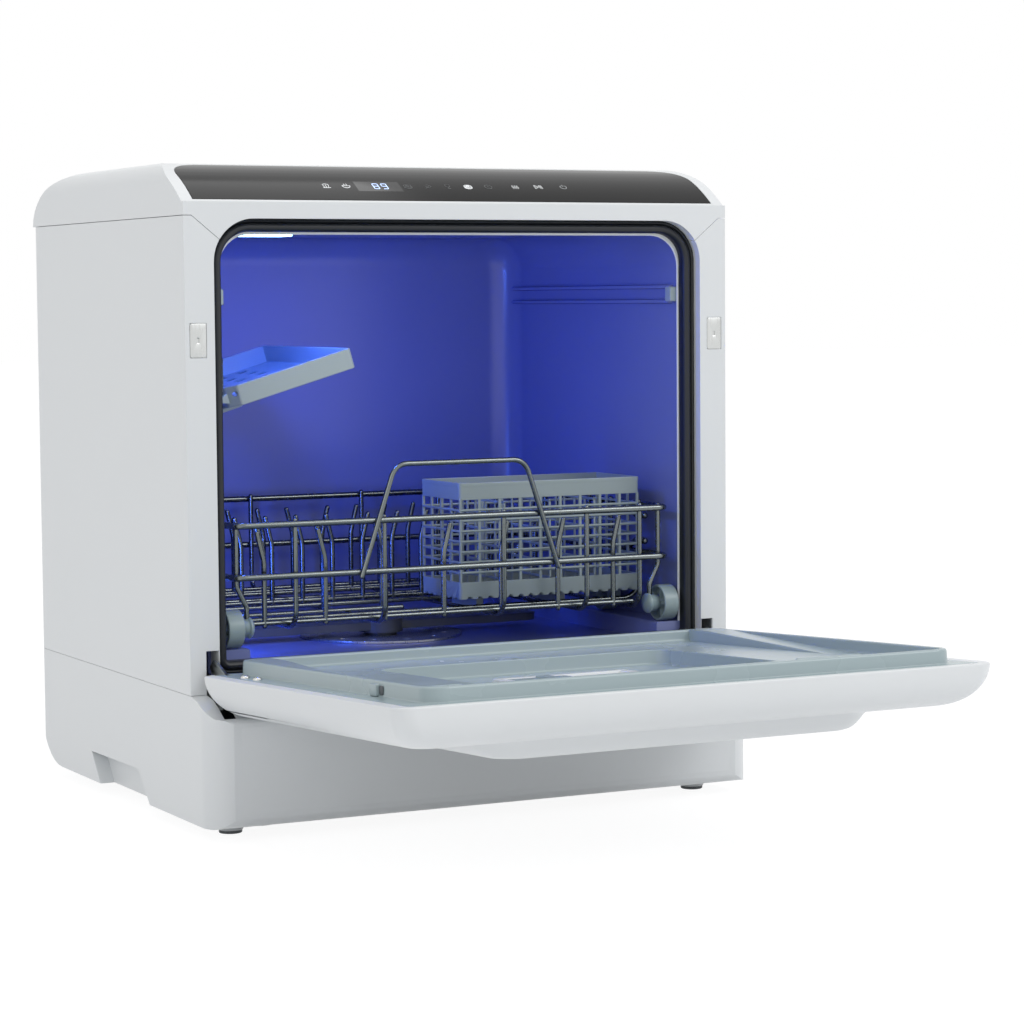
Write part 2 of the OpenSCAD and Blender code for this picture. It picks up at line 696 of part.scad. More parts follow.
tank_x = [-150, 60];
tank_y = [tub_y1 + tub_t + 2, side_d + rear_out - shell_t];
tank_z = [130, 378];

module water_tank() place() color([0.85, 0.9, 0.95]) difference() {
    translate([0, 0, tank_z[0]]) linear_extrude(tank_z[1] - tank_z[0])
        soft_rect(tank_x[0], tank_x[1], tank_y[0], tank_y[1], 8);
    translate([0, 0, tank_z[0] + 2.5]) linear_extrude(tank_z[1] - tank_z[0] - 5)
        soft_rect(tank_x[0] + 2.5, tank_x[1] - 2.5, tank_y[0] + 2.5, tank_y[1] - 2.5, 6);
    // inlet under the funnel's chute
    block(fill_x - 18, fill_x + 18, tank_y[0] + 3, tank_y[0] + 14, tank_z[1] - 5, tank_z[1] + 1);
}

// Cup under the fill port, with a chute that falls back into the tank
module fill_funnel() place() color([0.8, 0.85, 0.9]) difference() {
    cup_z = tub_z1 + tub_t;
    union() {
        translate([fill_x, fill_y, cup_z]) cylinder(r = fill_r + 2, h = top_z - 14 - cup_z);
        block(fill_x - 20, fill_x + 20, fill_y, tank_y[0] + 16, cup_z, cup_z + 13);
        block(fill_x - 20, fill_x + 20, tank_y[0] + 1, tank_y[0] + 16, tank_z[1], cup_z + 13);
    }
    translate([fill_x, fill_y, cup_z + 2]) cylinder(r = fill_r, h = 40);
    block(fill_x - 18, fill_x + 18, fill_y, tank_y[0] + 14, cup_z + 2, cup_z + 11);
    block(fill_x - 18, fill_x + 18, tank_y[0] + 3, tank_y[0] + 14, tank_z[1], cup_z + 11);
}

lid_y = fill_y + fill_r + 5;    // the lid's pin
lid_z = top_z - 4;
lid_arm = 15.5;

module fill_lid() place() color("white") difference() {
    union() {
        // round plate, its rear edge cut straight beside the knuckle
        difference() {
            translate([fill_x, fill_y, lid_z]) cylinder(r = fill_r + 4, h = 3);
            block(fill_x - fill_r - 5, fill_x + fill_r + 5, fill_y + fill_r - 2, lid_y + 5,
                lid_z - 1, lid_z + 4);
        }
        // knuckle on the pin
        translate([fill_x - lid_arm, lid_y, lid_z]) rotate([0, 90, 0]) cylinder(r = 3.2, h = 2 * lid_arm);
        block(fill_x - lid_arm, fill_x + lid_arm, fill_y + fill_r - 2, lid_y, lid_z + 0.2, lid_z + 3);
    }
    translate([fill_x - 30, lid_y, lid_z]) rotate([0, 90, 0]) cylinder(r = 1.5 + play, h = 60);
}

module lid_pin() place() color("silver")
    translate([fill_x - 19.5, lid_y, lid_z]) rotate([0, 90, 0]) cylinder(r = 1.5, h = 39);

fan_x = rear_x - 73;
fan_z = 270;
fan_r = 36;
fan_y = tub_y1 + tub_t + 6;

module fan_housing() place() translate([fan_x, fan_y, fan_z]) rotate([-90, 0, 0]) color("dimgray") {
    difference() {
        translate([-42, -42, 0]) cube([84, 84, 26]);
        translate([0, 0, 3]) cylinder(r = fan_r, h = 30);
        for (a = [45 : 90 : 315]) rotate(a) translate([0, 0, -1]) intersection() {
            cylinder(r = 30, h = 6);
            translate([9, 9, 0]) cube(40);
        }
    }
    translate([0, 0, 2]) cylinder(r = 3, h = 15.5);
    // spacers back to the rear cover's grille and forward to the tub
    for (x = [-36, 36], y = [-36, 36]) {
        translate([x, y, -6]) cylinder(r = 4, h = 7);
        translate([x, y, 25]) cylinder(r = 4, h = side_d + rear_out - shell_t - fan_y - 25);
    }
}

module fan_rotor() place() translate([fan_x, fan_y, fan_z]) rotate([-90, 0, 0]) color("black")
    difference() {
        union() {
            translate([0, 0, 6]) cylinder(r = 14, h = 14);
            for (i = [0 : 6]) rotate(i * 360 / 7) translate([13, -1, 7]) cube([21.5, 2, 12]);
        }
        translate([0, 0, 5]) cylinder(r = 3 + play, h = 13);
    }

// ---- ports, feet and screws ----

inlet_r = 13.2;      // outside of a three-quarter inch pipe thread
inlet_len = 16;
spigot_r = 10;
spigot_len = 25;
port_y = side_d - shell_t;

module inlet_valve() place() translate([port_places[0][0], 0, port_places[0][1]]) color("white") {
    translate([0, port_y - 30, 0]) rotate([-90, 0, 0]) cylinder(r = 16, h = 30);
    translate([0, port_y - 1, 0]) rotate([-90, 0, 0]) cylinder(r = inlet_r + 0.4, h = shell_t + 1);
    translate([0, side_d - 0.1, 0]) rotate([-90, 0, 0]) cylinder(r = inlet_r, h = inlet_len + 0.1);
    translate([0, port_y - 15, 0]) cylinder(r = 6, h = 20);
}

module drain_spigot() place() translate([port_places[1][0], 0, port_places[1][1]]) color("gray")
    difference() {
        union() {
            translate([0, port_y - 12, 0]) rotate([-90, 0, 0]) cylinder(r = 14, h = 12);
            translate([0, port_y - 1, 0]) rotate([-90, 0, 0]) cylinder(r = spigot_r + 0.3, h = shell_t + 1);
            translate([0, side_d - 0.1, 0]) rotate([-90, 0, 0]) cylinder(r = spigot_r, h = spigot_len + 0.1);
        }
        translate([0, port_y - 20, 0]) rotate([-90, 0, 0]) cylinder(r = 7, h = 80);
    }

module power_inlet() place() translate([port_places[2][0], 0, port_places[2][1]]) color([0.15, 0.15, 0.15])
    difference() {
        union() {
            translate([0, port_y - 10, 0]) rotate([-90, 0, 0]) cylinder(r = 16, h = 10);
            translate([0, port_y - 1, 0]) rotate([-90, 0, 0]) cylinder(r = 12.4, h = 8 + shell_t);
        }
        translate([0, port_y - 20, 0]) rotate([-90, 0, 0]) cylinder(r = 4.2, h = 60);
    }

module feet() place() color("gray") both_sides() for (y = [foot_front, foot_rear])
    translate([foot_x, y, 0]) {
        cylinder(r = foot_r, h = foot_h - 3);
    }

bracket_x = slot_x[1] - 1;       // outer face of the bracket's ear
ear_t = 3;
arm_t = 2.5;
pin_r = 3;

// Ear that carries the hinge pin, on a foot screwed to the base's floor
module hinge_brackets() place() color("silver") both_sides() {
    difference() {
        union() {
            translate([bracket_x - ear_t, hinge_y, hinge_z]) rotate([0, 90, 0]) cylinder(r = 6, h = ear_t);
            across(bracket_x - ear_t, bracket_x) polygon([
                [hinge_y - 4, hinge_z - 4], [hinge_y + 4, hinge_z + 4], [shell_t + 6, hinge_z - 2],
                [20, 60], [20, floor_in], [8, floor_in], [8, 60], [-20, hinge_z - 12]]);
        }
        // clears the base's front wall
        block(bracket_x - ear_t - 1, bracket_x + 1, -60, 8, 0, base_h - 21.5);
    }
    translate([bracket_x - ear_t - arm_t - 1.5, hinge_y, hinge_z]) rotate([0, 90, 0])
        cylinder(r = pin_r, h = arm_t + 1.6);
    block(bracket_x - 18, bracket_x, 8, 30, floor_in, floor_in + 2.5);
}

// Close-wound coils that balance the door, standing on the brackets' feet
spring_r = 5;
spring_wire = 1.6;
module hinge_springs() place() color("gray") both_sides()
    translate([bracket_x - 11, 20, floor_in + 2.5]) {
        for (i = [0 : 11]) translate([0, 0, spring_wire * (1 + 1.8 * i)]) rotate_extrude()
            translate([spring_r, 0]) circle(spring_wire, $fn = 24);
        // core that the coils hang on
        cylinder(r = 2.5, h = 44);
        translate([0, 0, 1]) cylinder(r = spring_r, h = 1.4);
    }

module cabinet_screws() place() color("silver") {
    for (x = [-rear_x + 9, rear_x - 9], z = [110, 250, 390])
        translate([x, side_d + rear_out, z]) rotate([-90, 0, 0]) screw_head(3.5);
}

module screw_head(r) difference() {
    cylinder(r = r, h = head_h);
    translate([0, 0, 1.2]) for (a = [0, 90]) rotate(a) cube([r * 1.3, 0.8, 2], center = true);
}

// ---- door, in its own frame ----

// One slice of the door shell: g is how far the slice stands in from the rim
module door_slice(g, h) translate([0, 0, h - 0.2]) linear_extrude(0.2)
    soft_rect(-half_w + g, half_w - g, -door_u0 - door_len + g, -door_u0 - g, 12);

// How far the edges have curved in at a share s of the thickness
function curve_in(s) = door_curve * (1 - sqrt(1 - s * s));

plateau_u = [60, door_len - 30];
module door_shell() on_door() color("whitesmoke") difference() {
    union() {
        hull() for (s = [0, 0.3, 0.55, 0.75, 0.9, 0.975, 1])
            door_slice(curve_in(min(s, 0.995)), door_rim - door_t * s + 0.2 * s);
        hull() for (p = [[0, 0], [5, 0.6], [14, 1]])
            translate([0, 0, door_face - plateau_h * p[1]]) linear_extrude(0.5) soft_rect(
                -plateau_w / 2 + p[0], plateau_w / 2 - p[0], -plateau_u[1] + p[0] * 0.5,
                -plateau_u[0] - p[0] * 2, 20);
    }
    // hollow for the liner, the hinge arms and the wiring
    hull() for (p = [[0, 0], [5, 0.6], [14, 1]]) {
        low = (plateau_h) * p[1];
        translate([0, 0, door_face - low + door_wall]) linear_extrude(0.5) soft_rect(
            -plateau_w / 2 + p[0] + 4, plateau_w / 2 - p[0] - 4, -plateau_u[1] + p[0] * 0.5 + 4,
            -plateau_u[0] - p[0] * 2 - 4, 16);
    }
    translate([0, 0, door_face + door_wall]) linear_extrude(door_t)
        soft_rect(-half_w + door_curve, half_w - door_curve, -door_len + door_curve - 4,
            -door_u0 - door_curve + 6, 6);
    // seat of the liner's flange
    block(-half_w + 9.9, half_w - 9.9, -liner_u1 - 0.6, -door_u0 + 1, door_rim - 1.6, door_rim + 1);
    // grooves for the hinge arms
    both_sides() block(arm_x0 - 0.5, arm_x0 + arm_t + ear_t + 2, -arm_reach - 2, 2, -12, door_rim + 1);
}

arm_x0 = bracket_x - ear_t - arm_t - 0.3;
arm_reach = 92;

module hinge_arms() on_door() color("silver") both_sides() difference() {
    union() {
        translate([arm_x0, 0, 0]) rotate([0, 90, 0]) cylinder(r = 6.5, h = arm_t);
        // arm along the door, and the tail that swings through the slots
        across(arm_x0, arm_x0 + arm_t) polygon([
            [5.5, -3], [-8, -6], [-arm_reach, 1], [-arm_reach, door_rim - 2], [-22, door_rim - 2],
            [-14, door_rim - 2], [2, 17], [13, 21], [20, 16], [14, 9]]);
    }
    translate([arm_x0 - 1, 0, 0]) rotate([0, 90, 0]) cylinder(r = pin_r + play, h = arm_t + 2);
}

screw_u = [45, 67];
module door_screws() on_door() color("silver") both_sides() for (u = screw_u)
    translate([half_w - 17, -u, door_rim]) screw_head(3.4);

recess_x = 112;
recess_u = [66, 280];
recess_d = 9;

module door_liner() on_door() color([0.72, 0.78, 0.8]) difference() {
    union() {
        // flange on the door's rim, floor and rim wall
        block(-half_w + 10.2, half_w - 10.2, -liner_u1, -door_u0 - 0.2, door_rim - 1.6, door_rim);
        translate([0, 0, door_rim - 0.1]) linear_extrude(liner_rim + 0.1)
            soft_rect(-liner_edge, liner_edge, -liner_u1 + 5, -liner_u0, liner_r);
        // tray round the recess
        block(-recess_x - 3, recess_x + 3, -recess_u[1] - 3, -recess_u[0] + 3,
            door_rim - recess_d - 2, door_rim);
    }
    // inside of the rim wall
    translate([0, 0, door_rim + 1.6]) linear_extrude(liner_rim + 1) difference() {
        soft_rect(-liner_edge + 5, liner_edge - 5, -liner_u1 + 10, -liner_u0 - 5, liner_r - 5);
        both_sides() translate([track_in, -track_end]) square([30, track_end]);
    }
    // runways for the wheels, level while the door is open
    both_sides() intersection() {
        block(track_in - 1, liner_edge - 5, -track_end, -liner_u0 - 5, door_rim, liner_top + 2);
        across(track_in - 1, half_w) polygon([
            [0, track_h(0)], [-track_end - 1, track_h(track_end + 1)], [-track_end - 1, 60], [0, 60]]);
    }
    // recess in the middle
    translate([0, 0, door_rim - recess_d]) linear_extrude(40)
        soft_rect(-recess_x, recess_x, -recess_u[1], -recess_u[0], 12);
    // seat of the detergent cup
    block(cup_x[0] + 5, cup_x[1] - 5, -cup_u[1] + 5, -cup_u[0] - 5, -10, door_rim);
    // space for the arms' flanges and the ears
    both_sides() {
        block(arm_x0 - 0.4, half_w, -8, 1, -20, door_rim + 20);
        block(arm_x0 - 0.4, arm_x0 + arm_t + 0.4, -16, 1, -20, door_rim + 20);
    }
}

// Height in the door's frame of the level runway at a distance u from the pins
function track_h(u) = (ledge_z + 0.3 - track_gap - hinge_z - u * sin(door_tilt)) / cos(door_tilt);

cup_x = [-60, 40];
cup_u = [140, 210];

module detergent_cup() on_door() color("white") difference() {
    union() {
        block(cup_x[0], cup_x[1], -cup_u[1], -cup_u[0], door_rim - recess_d, door_rim - 4);
        block(cup_x[0] + 6, cup_x[1] - 6, -cup_u[1] + 6, -cup_u[0] - 6, door_face + 3, door_rim - 5);
    }
    block(cup_x[0] + 9, cup_x[0] + 47, -cup_u[1] + 9, -cup_u[0] - 9, door_face + 5, 20);
    // guides of the sliding lid
    block(cup_x[0] + 5.8, cup_x[1] - 5.8, -cup_u[1] + 5.8, -cup_u[0] - 5.8, door_rim - 6.4, 20);
}

module detergent_lid() on_door() color("lightgray") difference() {
    union() {
        block(cup_x[0] + 6, cup_x[0] + 51, -cup_u[1] + 6, -cup_u[0] - 6, door_rim - 6.4, door_rim - 4.4);
        block(cup_x[0] + 24, cup_x[0] + 34, -cup_u[1] + 16, -cup_u[0] - 16, door_rim - 4.5, door_rim - 2.5);
    }
}

catch_u = [235, 252];
module catch_tabs() on_door() color("silver") both_sides()
    block(liner_edge, liner_edge + 2.6, -catch_u[1], -catch_u[0], door_rim, door_rim + 8);

// ---- rack, in its own frame ----

// The front rail wraps both corners. Each side rail kinks to meet it, and the rear rail closes the ring.
rail_back = 54;
module rails(z, kink) {
    wire(bent([[-rail_x, rail_back, z], [-rail_x, 0, z], [rail_x, 0, z], [rail_x, rail_back, z]], 8),
        rail_d, [0, 0, 1]);
    wire(bent([[-rail_x, rack_len - 31, z], [-rail_x, rack_len, z], [rail_x, rack_len, z],
        [rail_x, rack_len - 31, z]], 12), rail_d - 0.4, [0, 0, 1]);
    both_sides() wire(bent([[rail_x, cross_y[0] - 3, z + kink], [rail_x, cross_y[0] + 10, z + kink],
        [rail_x, rail_back + 12, z], [rail_x, rack_len - 30, z]], 5), rail_d, [1, 0, 0]);
}

module rack_rails() on_rack() color("silver") {
    rails(low_rail_z, 8.5);
    rails(top_rail_z, -8.5);
}

upright_top = top_rail_z + 1.5;
in_x = rail_x - (rail_d + wire_d) / 2 + 0.6;
in_y = (rail_d + wire_d) / 2 - 0.6;

// Wires that run across under the dishes and up to the top rails
module rack_cross_wires() on_rack() color("silver") for (y = cross_y) {
    wire(bent([[-in_x, y, upright_top], [-in_x, y, floor_z], [in_x, y, floor_z],
        [in_x, y, upright_top]], 12), wire_d, [0, 1, 0]);
    for (x = [-in_x, in_x]) wire_end([x, y, upright_top], wire_d);
}

// Wires that run front to back, one wire's depth lower
module rack_long_wires() on_rack() color("silver") {
    low = floor_z - wire_d + 0.6;
    for (x = long_x) {
        wire(bent([[x, in_y, upright_top], [x, in_y, low], [x, rack_len - in_y, low],
            [x, rack_len - in_y, upright_top]], 12), wire_d, [1, 0, 0]);
        for (y = [in_y, rack_len - in_y]) wire_end([x, y, upright_top], wire_d);
    }
}

// Arms down to the wheel hubs, and short uprights between the two rails
module rack_arms() on_rack() color("silver") {
    for (y = stub_y, x = [-in_x, in_x]) {
        wire([[x, y, low_rail_z - 3], [x, y, upright_top]], wire_d, [1, 0, 0]);
        wire_end([x, y, upright_top], wire_d);
    }
    both_sides() for (y = wheel_y) wire(bent([[in_x, y, top_rail_z], [in_x, y, low_rail_z - 12],
        [hub_x + 4, y, axle_z + hub_r + 14], [hub_x + 4, y, axle_z + hub_r - 3]], 5, 2), wire_d, [0, 1, 0]);
}

hub_x = wheel_x - 0.3 - hub_len;    // inner end of the hubs

tine_h = 64;
tine_lean = 5;
row_y = [16, 68, 150, 228];      // rows of tines, front to rear
row_pitch = [47, 47, 25, 25];
// Tines welded to a carrier wire in each row, their tops leaning outwards
module rack_tines() on_rack() color("silver") {
    row(row_y[0], 28 - rail_x, rail_x - 38, row_pitch[0], 11);
    row(row_y[1], 49 - rail_x, basket_x - 45, row_pitch[1], 16);
    row(row_y[2], 64 - rail_x, rail_x - 34, row_pitch[2], 16);
    row(row_y[3], 64 - rail_x, rail_x - 34, row_pitch[3], 16);
}

module row(y, x0, x1, pitch, over) {
    for (x = [x0 : pitch : x1]) tine([x, y, floor_z - 2], x < -20 ? -tine_lean : tine_lean);
    wire([[x0 - over, y, floor_z], [x1 + 16, y, floor_z]], wire_d, [0, 0, 1]);
}

module tine(p, lean) {
    knee = tine_h - 20;
    hull() for (z = [0, knee]) translate(p + [0, 0, z]) sphere(wire_d / 2, $fn = 6);
    hull() for (q = [[0, 0, knee], [lean, 0, tine_h]]) translate(p + q) sphere(wire_d / 2, $fn = 6);
}

// Inverted U that the rack is pulled by, welded outside the rails
module rack_handle() on_rack() color("silver") {
    y = -(rail_d + wire_d) / 2 + 0.6;
    top = top_rail_z + handle_rise;
    wire(bent([[-handle_low, y, low_rail_z - 3], [-handle_top, y, top], [handle_top, y, top],
        [handle_low, y, low_rail_z - 3]], 12, 5), wire_d, [0, 1, 0]);
}

// Tall posts that carry a long closed loop; the loop's lower wire is the shelf's pivot
post_x = -rail_x + (rail_d + wire_d) / 2 - 0.6;
pivot_x = post_x - wire_d + 0.6;
module rack_posts() on_rack() color("silver") {
    y0 = 24;
    y1 = 228;
    for (y = post_y) wire([[post_x, y, low_rail_z - 3], [post_x, y, loop_z + 2]], wire_d, [1, 0, 0]);
    for (side = [0, 1]) {
        mid = (y0 + y1) / 2;
        end = side == 0 ? y0 : y1;
        over = side == 0 ? mid + 0.5 : mid - 0.5;
        wire(bent([[pivot_x, over, shelf_z], [pivot_x, end, shelf_z], [pivot_x, end, loop_z],
            [pivot_x, over, loop_z]], 8), wire_d, [1, 0, 0]);
        wire_end([pivot_x, end, (shelf_z + loop_z) / 2], wire_d - 0.4);
    }
    for (y = post_y, z = [low_rail_z, loop_z]) wire_end([post_x, y, z], wire_d);
}

module wheel_hubs() on_rack() color("lightslategray") both_sides() for (y = wheel_y)
    translate([0, y, axle_z]) rotate([0, 90, 0]) {
        translate([0, 0, hub_x]) cylinder(r1 = hub_r, r2 = hub_r - 2.5, h = hub_len / 2);
        translate([0, 0, hub_x]) cylinder(r = hub_r - 2.5, h = hub_len);
        translate([0, 0, hub_x + hub_len - 0.1]) cylinder(r = axle_r, h = wheel_w + 0.7);
        translate([0, 0, wheel_x + wheel_w + 0.25]) cylinder(r = 4, h = 0.8);
    }

// Wheel with a rim, a web of five spokes and a bored hub
module rack_wheel(side, i) on_rack() color([0.6, 0.68, 0.7])
    translate([side * (wheel_x + wheel_w / 2), wheel_y[i], axle_z]) rotate([0, side * 90, 0])
        difference() {
            r = wheel_d / 2;
            union() {
                difference() {
                    cylinder(r = r, h = wheel_w, center = true);
                    translate([0, 0, 1]) cylinder(r = r - 2, h = wheel_w, center = true);
                }
                cylinder(r = 4.6, h = wheel_w, center = true);
                for (a = [0 : 72 : 288]) rotate(a) translate([4, -0.7, -wheel_w / 2 + 0.5])
                    cube([r - 5, 1.4, wheel_w - 2]);
            }
            cylinder(r = axle_r + play, h = wheel_w + 2, center = true);
        }

// ---- cup shelf ----

clip_y = [42, 76, 112, 150, 188];
shelf_x0 = 12;

// In the shelf's frame: x out from the pivot wire, y along it, z up, before the slope
module cup_shelf() on_rack() color([0.7, 0.76, 0.77])
    translate([pivot_x, 0, shelf_z]) rotate([0, -shelf_slope, 0]) difference() {
        x0 = shelf_x0;
        union() {
            difference() {
                block(x0, x0 + shelf_w, shelf_y0, shelf_y0 + shelf_len, -10, -10 + shelf_wall);
                block(x0 + 2, x0 + shelf_w - 2, shelf_y0 + 2, shelf_y0 + shelf_len - 2, -8, shelf_wall);
                // drain windows
                for (x = [x0 + 14 : 18 : x0 + shelf_w - 14])
                    for (y = [shelf_y0 + 8 : 20 : shelf_y0 + shelf_len - 16])
                        block(x, x + 9, y, y + 12, -12, -4);
                // notches that let the posts pass as the shelf folds up
                for (y = post_y) block(x0 - 1, x0 + 11, y - 4.5, y + 4.5, -12, shelf_wall);
            }
            // knuckles on the pivot wire
            for (y = clip_y) {
                translate([0, y, 0]) rotate([-90, 0, 0]) cylinder(r = 5, h = 7);
                block(0, x0 + 1, y, y + 7, -5, 0);
            }
            // lugs that rest against the posts
            for (y = post_y) if (y < shelf_y0 + shelf_len)
                block(lug_x, x0 + 15, y - 8, y + 8, -13, -10);
        }
        for (y = clip_y) translate([0, y - 1, 0]) rotate([-90, 0, 0])
            cylinder(r = wire_d / 2 + play, h = 9);
        // clips snap on from below
        for (y = clip_y) block(-1.5, 1.5, y - 1, y + 8, -9, 0);
    }
// The lugs' edge, in the shelf's frame, just clear of the posts
lug_x = (post_x - pivot_x + wire_d / 2 + 0.2 - 10 * sin(shelf_slope)) / cos(shelf_slope);

// ---- cutlery basket ----

basket_z = axle_z + hub_r + 0.4;
basket_rest = floor_z - wire_d / 2 + 0.6;
module basket_wall(w) {
    // grid between a solid band at the top and one at the foot
    difference() {
        square([w, basket_h]);
        n = floor(w / 16);
        step = w / n;
        for (i = [0 : n - 1], j = [0 : 7])
            translate([i * step + 1.2, 13 + j * 7.7]) square([step - 2.4, 5.6]);
    }
}

module cutlery_basket() on_rack() color([0.62, 0.7, 0.7])
    translate([basket_x, basket_y, basket_z]) {
        t = 2;
        for (y = [t, basket_d]) translate([0, y, 0]) rotate([90, 0, 0]) linear_extrude(t)
            basket_wall(basket_w);
        for (x = [0, basket_w - t]) translate([x, 0, 0]) rotate([90, 0, 90]) linear_extrude(t)
            basket_wall(basket_d);
        // dividers
        for (i = [1 : 3]) block(i * basket_w / 4 - 0.8, i * basket_w / 4 + 0.8, 1, basket_d - 1, 0,
            basket_h - 14);
        // runners that stand on the rack's long wires
        for (x = [long_x[2], long_x[3]]) block(x - basket_x - 3, x - basket_x + 3, 16, basket_d - 8,
            basket_rest - basket_z, 1);
        // floor with drain holes
        difference() {
            cube([basket_w, basket_d, 2]);
            for (x = [9 : 13 : basket_w - 5], y = [12 : 15 : basket_d - 8]) translate([x, y, -1])
                cylinder(r = 3.2, h = 4);
        }
    }

base_shell();
side_panel_left();
side_panel_right();
top_cover();
control_glass();
control_board();
rear_cover();
tub();
tub_gasket();
catch_plates();
cavity_lamp();
rack_stops();
sump();
filter();
spray_bearing();
spray_arm();
wash_pump();
pump_impeller();
drain_pump();
heater();
hoses();
water_tank();
fill_funnel();
fill_lid();
lid_pin();
fan_housing();
fan_rotor();
inlet_valve();
drain_spigot();
power_inlet();
feet();
hinge_brackets();
hinge_springs();
cabinet_screws();
door_shell();
door_liner();
hinge_arms();
door_screws();
detergent_cup();
detergent_lid();
catch_tabs();
rack_rails();
rack_cross_wires();
rack_long_wires();
rack_arms();
rack_tines();
rack_handle();
rack_posts();
wheel_hubs();
rack_wheel(-1, 0);  // wheel_left_1
rack_wheel(-1, 1);  // wheel_left_2
rack_wheel(-1, 2);  // wheel_left_3
rack_wheel(1, 0);  // wheel_right_1
rack_wheel(1, 1);  // wheel_right_2
rack_wheel(1, 2);  // wheel_right_3
cup_shelf();
cutlery_basket();
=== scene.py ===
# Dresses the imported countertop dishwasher: smooth shells, wire rack, moulded fittings and finishes.
import json
import math

import bmesh
import bpy
from mathutils import Matrix, Quaternion, Vector

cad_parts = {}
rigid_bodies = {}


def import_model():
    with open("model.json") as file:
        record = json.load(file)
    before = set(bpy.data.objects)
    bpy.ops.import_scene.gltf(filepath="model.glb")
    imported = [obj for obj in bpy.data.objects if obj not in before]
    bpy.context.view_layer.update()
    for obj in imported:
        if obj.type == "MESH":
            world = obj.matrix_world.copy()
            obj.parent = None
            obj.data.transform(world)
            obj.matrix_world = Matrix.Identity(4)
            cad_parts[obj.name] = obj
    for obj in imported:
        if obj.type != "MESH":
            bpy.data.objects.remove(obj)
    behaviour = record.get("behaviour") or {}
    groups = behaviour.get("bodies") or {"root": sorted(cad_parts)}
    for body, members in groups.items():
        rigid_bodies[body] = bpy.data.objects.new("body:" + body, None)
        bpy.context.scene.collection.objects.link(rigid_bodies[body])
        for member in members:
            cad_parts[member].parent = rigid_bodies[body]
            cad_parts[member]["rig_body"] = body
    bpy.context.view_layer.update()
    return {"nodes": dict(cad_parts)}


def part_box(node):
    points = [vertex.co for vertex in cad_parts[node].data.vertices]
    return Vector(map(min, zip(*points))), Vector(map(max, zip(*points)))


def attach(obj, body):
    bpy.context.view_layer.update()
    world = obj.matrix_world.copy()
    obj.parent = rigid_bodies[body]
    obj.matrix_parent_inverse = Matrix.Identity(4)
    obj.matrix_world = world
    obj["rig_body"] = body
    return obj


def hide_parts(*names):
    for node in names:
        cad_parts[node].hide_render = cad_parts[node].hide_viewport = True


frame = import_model()
nodeBody = {name: part["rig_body"] for name, part in frame["nodes"].items()}
mm = 0.001
sharpAngle = 34                                  # degrees between two faces that make an edge
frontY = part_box("side_panel_left")[0].y          # face of the front frame
print("frame loaded:", len(nodeBody), "nodes")


def linear(red, green, blue):
    # a colour as a picture shows it, 0 to 255, as the light value the shader wants
    steps = [c / 255 for c in (red, green, blue)]
    return tuple(c / 12.92 if c <= 0.04045 else ((c + 0.055) / 1.055) ** 2.4 for c in steps) + (1.0,)


def addNode(tree, kind, inputs=None, **settings):
    node = tree.nodes.new(kind)
    for name, value in settings.items():
        setattr(node, name, value)
    for key, value in (inputs or {}).items():
        if isinstance(value, bpy.types.NodeSocket):
            tree.links.new(value, node.inputs[key])
        else:
            node.inputs[key].default_value = value
    return node


# finishes

def startMaterial(name):
    material = bpy.data.materials.new(name)
    material.use_nodes = True
    tree = material.node_tree
    tree.nodes.clear()
    surface = addNode(tree, "ShaderNodeBsdfPrincipled")
    output = addNode(tree, "ShaderNodeOutputMaterial")
    tree.links.new(surface.outputs[0], output.inputs["Surface"])
    coords = addNode(tree, "ShaderNodeTexCoord").outputs["Object"]
    return material, tree, surface, coords


def mottled(tree, coords, surface, colour, spread, scale):
    # two near tints of one colour, clouded together
    cloud = addNode(tree, "ShaderNodeTexNoise", {"Vector": coords, "Scale": scale, "Detail": 4.0})
    low = [c * (1 - spread) for c in colour[:3]] + [1]
    high = [min(1, c * (1 + spread)) for c in colour[:3]] + [1]
    mix = addNode(tree, "ShaderNodeMix", {0: cloud.outputs["Fac"], 6: low, 7: high}, data_type="RGBA")
    tree.links.new(mix.outputs[2], surface.inputs["Base Color"])
    return cloud


def weather(tree, surface, field, rough, height, strength, depth):
    # uneven polish from one noise, fine relief of the depth in mm from another
    polish = addNode(tree, "ShaderNodeMapRange",
                     {0: field.outputs["Fac"], 1: 0.3, 2: 0.7, 3: rough[0], 4: rough[1]})
    relief = addNode(tree, "ShaderNodeBump",
                     {"Strength": strength, "Distance": depth * mm, "Height": height.outputs["Fac"]})
    tree.links.new(polish.outputs[0], surface.inputs["Roughness"])
    tree.links.new(relief.outputs[0], surface.inputs["Normal"])


def moulded(name, colour, rough=0.38, spread=0.02, grain=0.0011, depth=0.012, coat=0.0):
    # injection moulded plastic: faint flow clouds, a fine grain and an uneven polish
    material, tree, surface, coords = startMaterial(name)
    cloud = mottled(tree, coords, surface, colour, spread, 14)
    fine = addNode(tree, "ShaderNodeTexNoise", {"Vector": coords, "Scale": 1 / grain, "Detail": 2.0})
    weather(tree, surface, cloud, (rough * 0.88, rough * 1.12), fine, 0.35, depth)
    surface.inputs["Coat Weight"].default_value = coat
    surface.inputs["Coat Roughness"].default_value = 0.12
    return material


def drawnMetal(name, colour, rough, stretch=(1, 1, 1), scale=900, depth=0.004):
    # metal with the fine streaks of drawing or brushing, stretched along the long axis given
    material, tree, surface, coords = startMaterial(name)
    surface.inputs["Metallic"].default_value = 1.0
    mottled(tree, coords, surface, colour, 0.05, 60)
    along = addNode(tree, "ShaderNodeMapping", {"Vector": coords, "Scale": stretch})
    streak = addNode(tree, "ShaderNodeTexNoise", {"Vector": along.outputs[0], "Scale": scale, "Detail": 3.0})
    weather(tree, surface, streak, (rough * 0.75, rough * 1.3), streak, 0.4, depth)
    return material


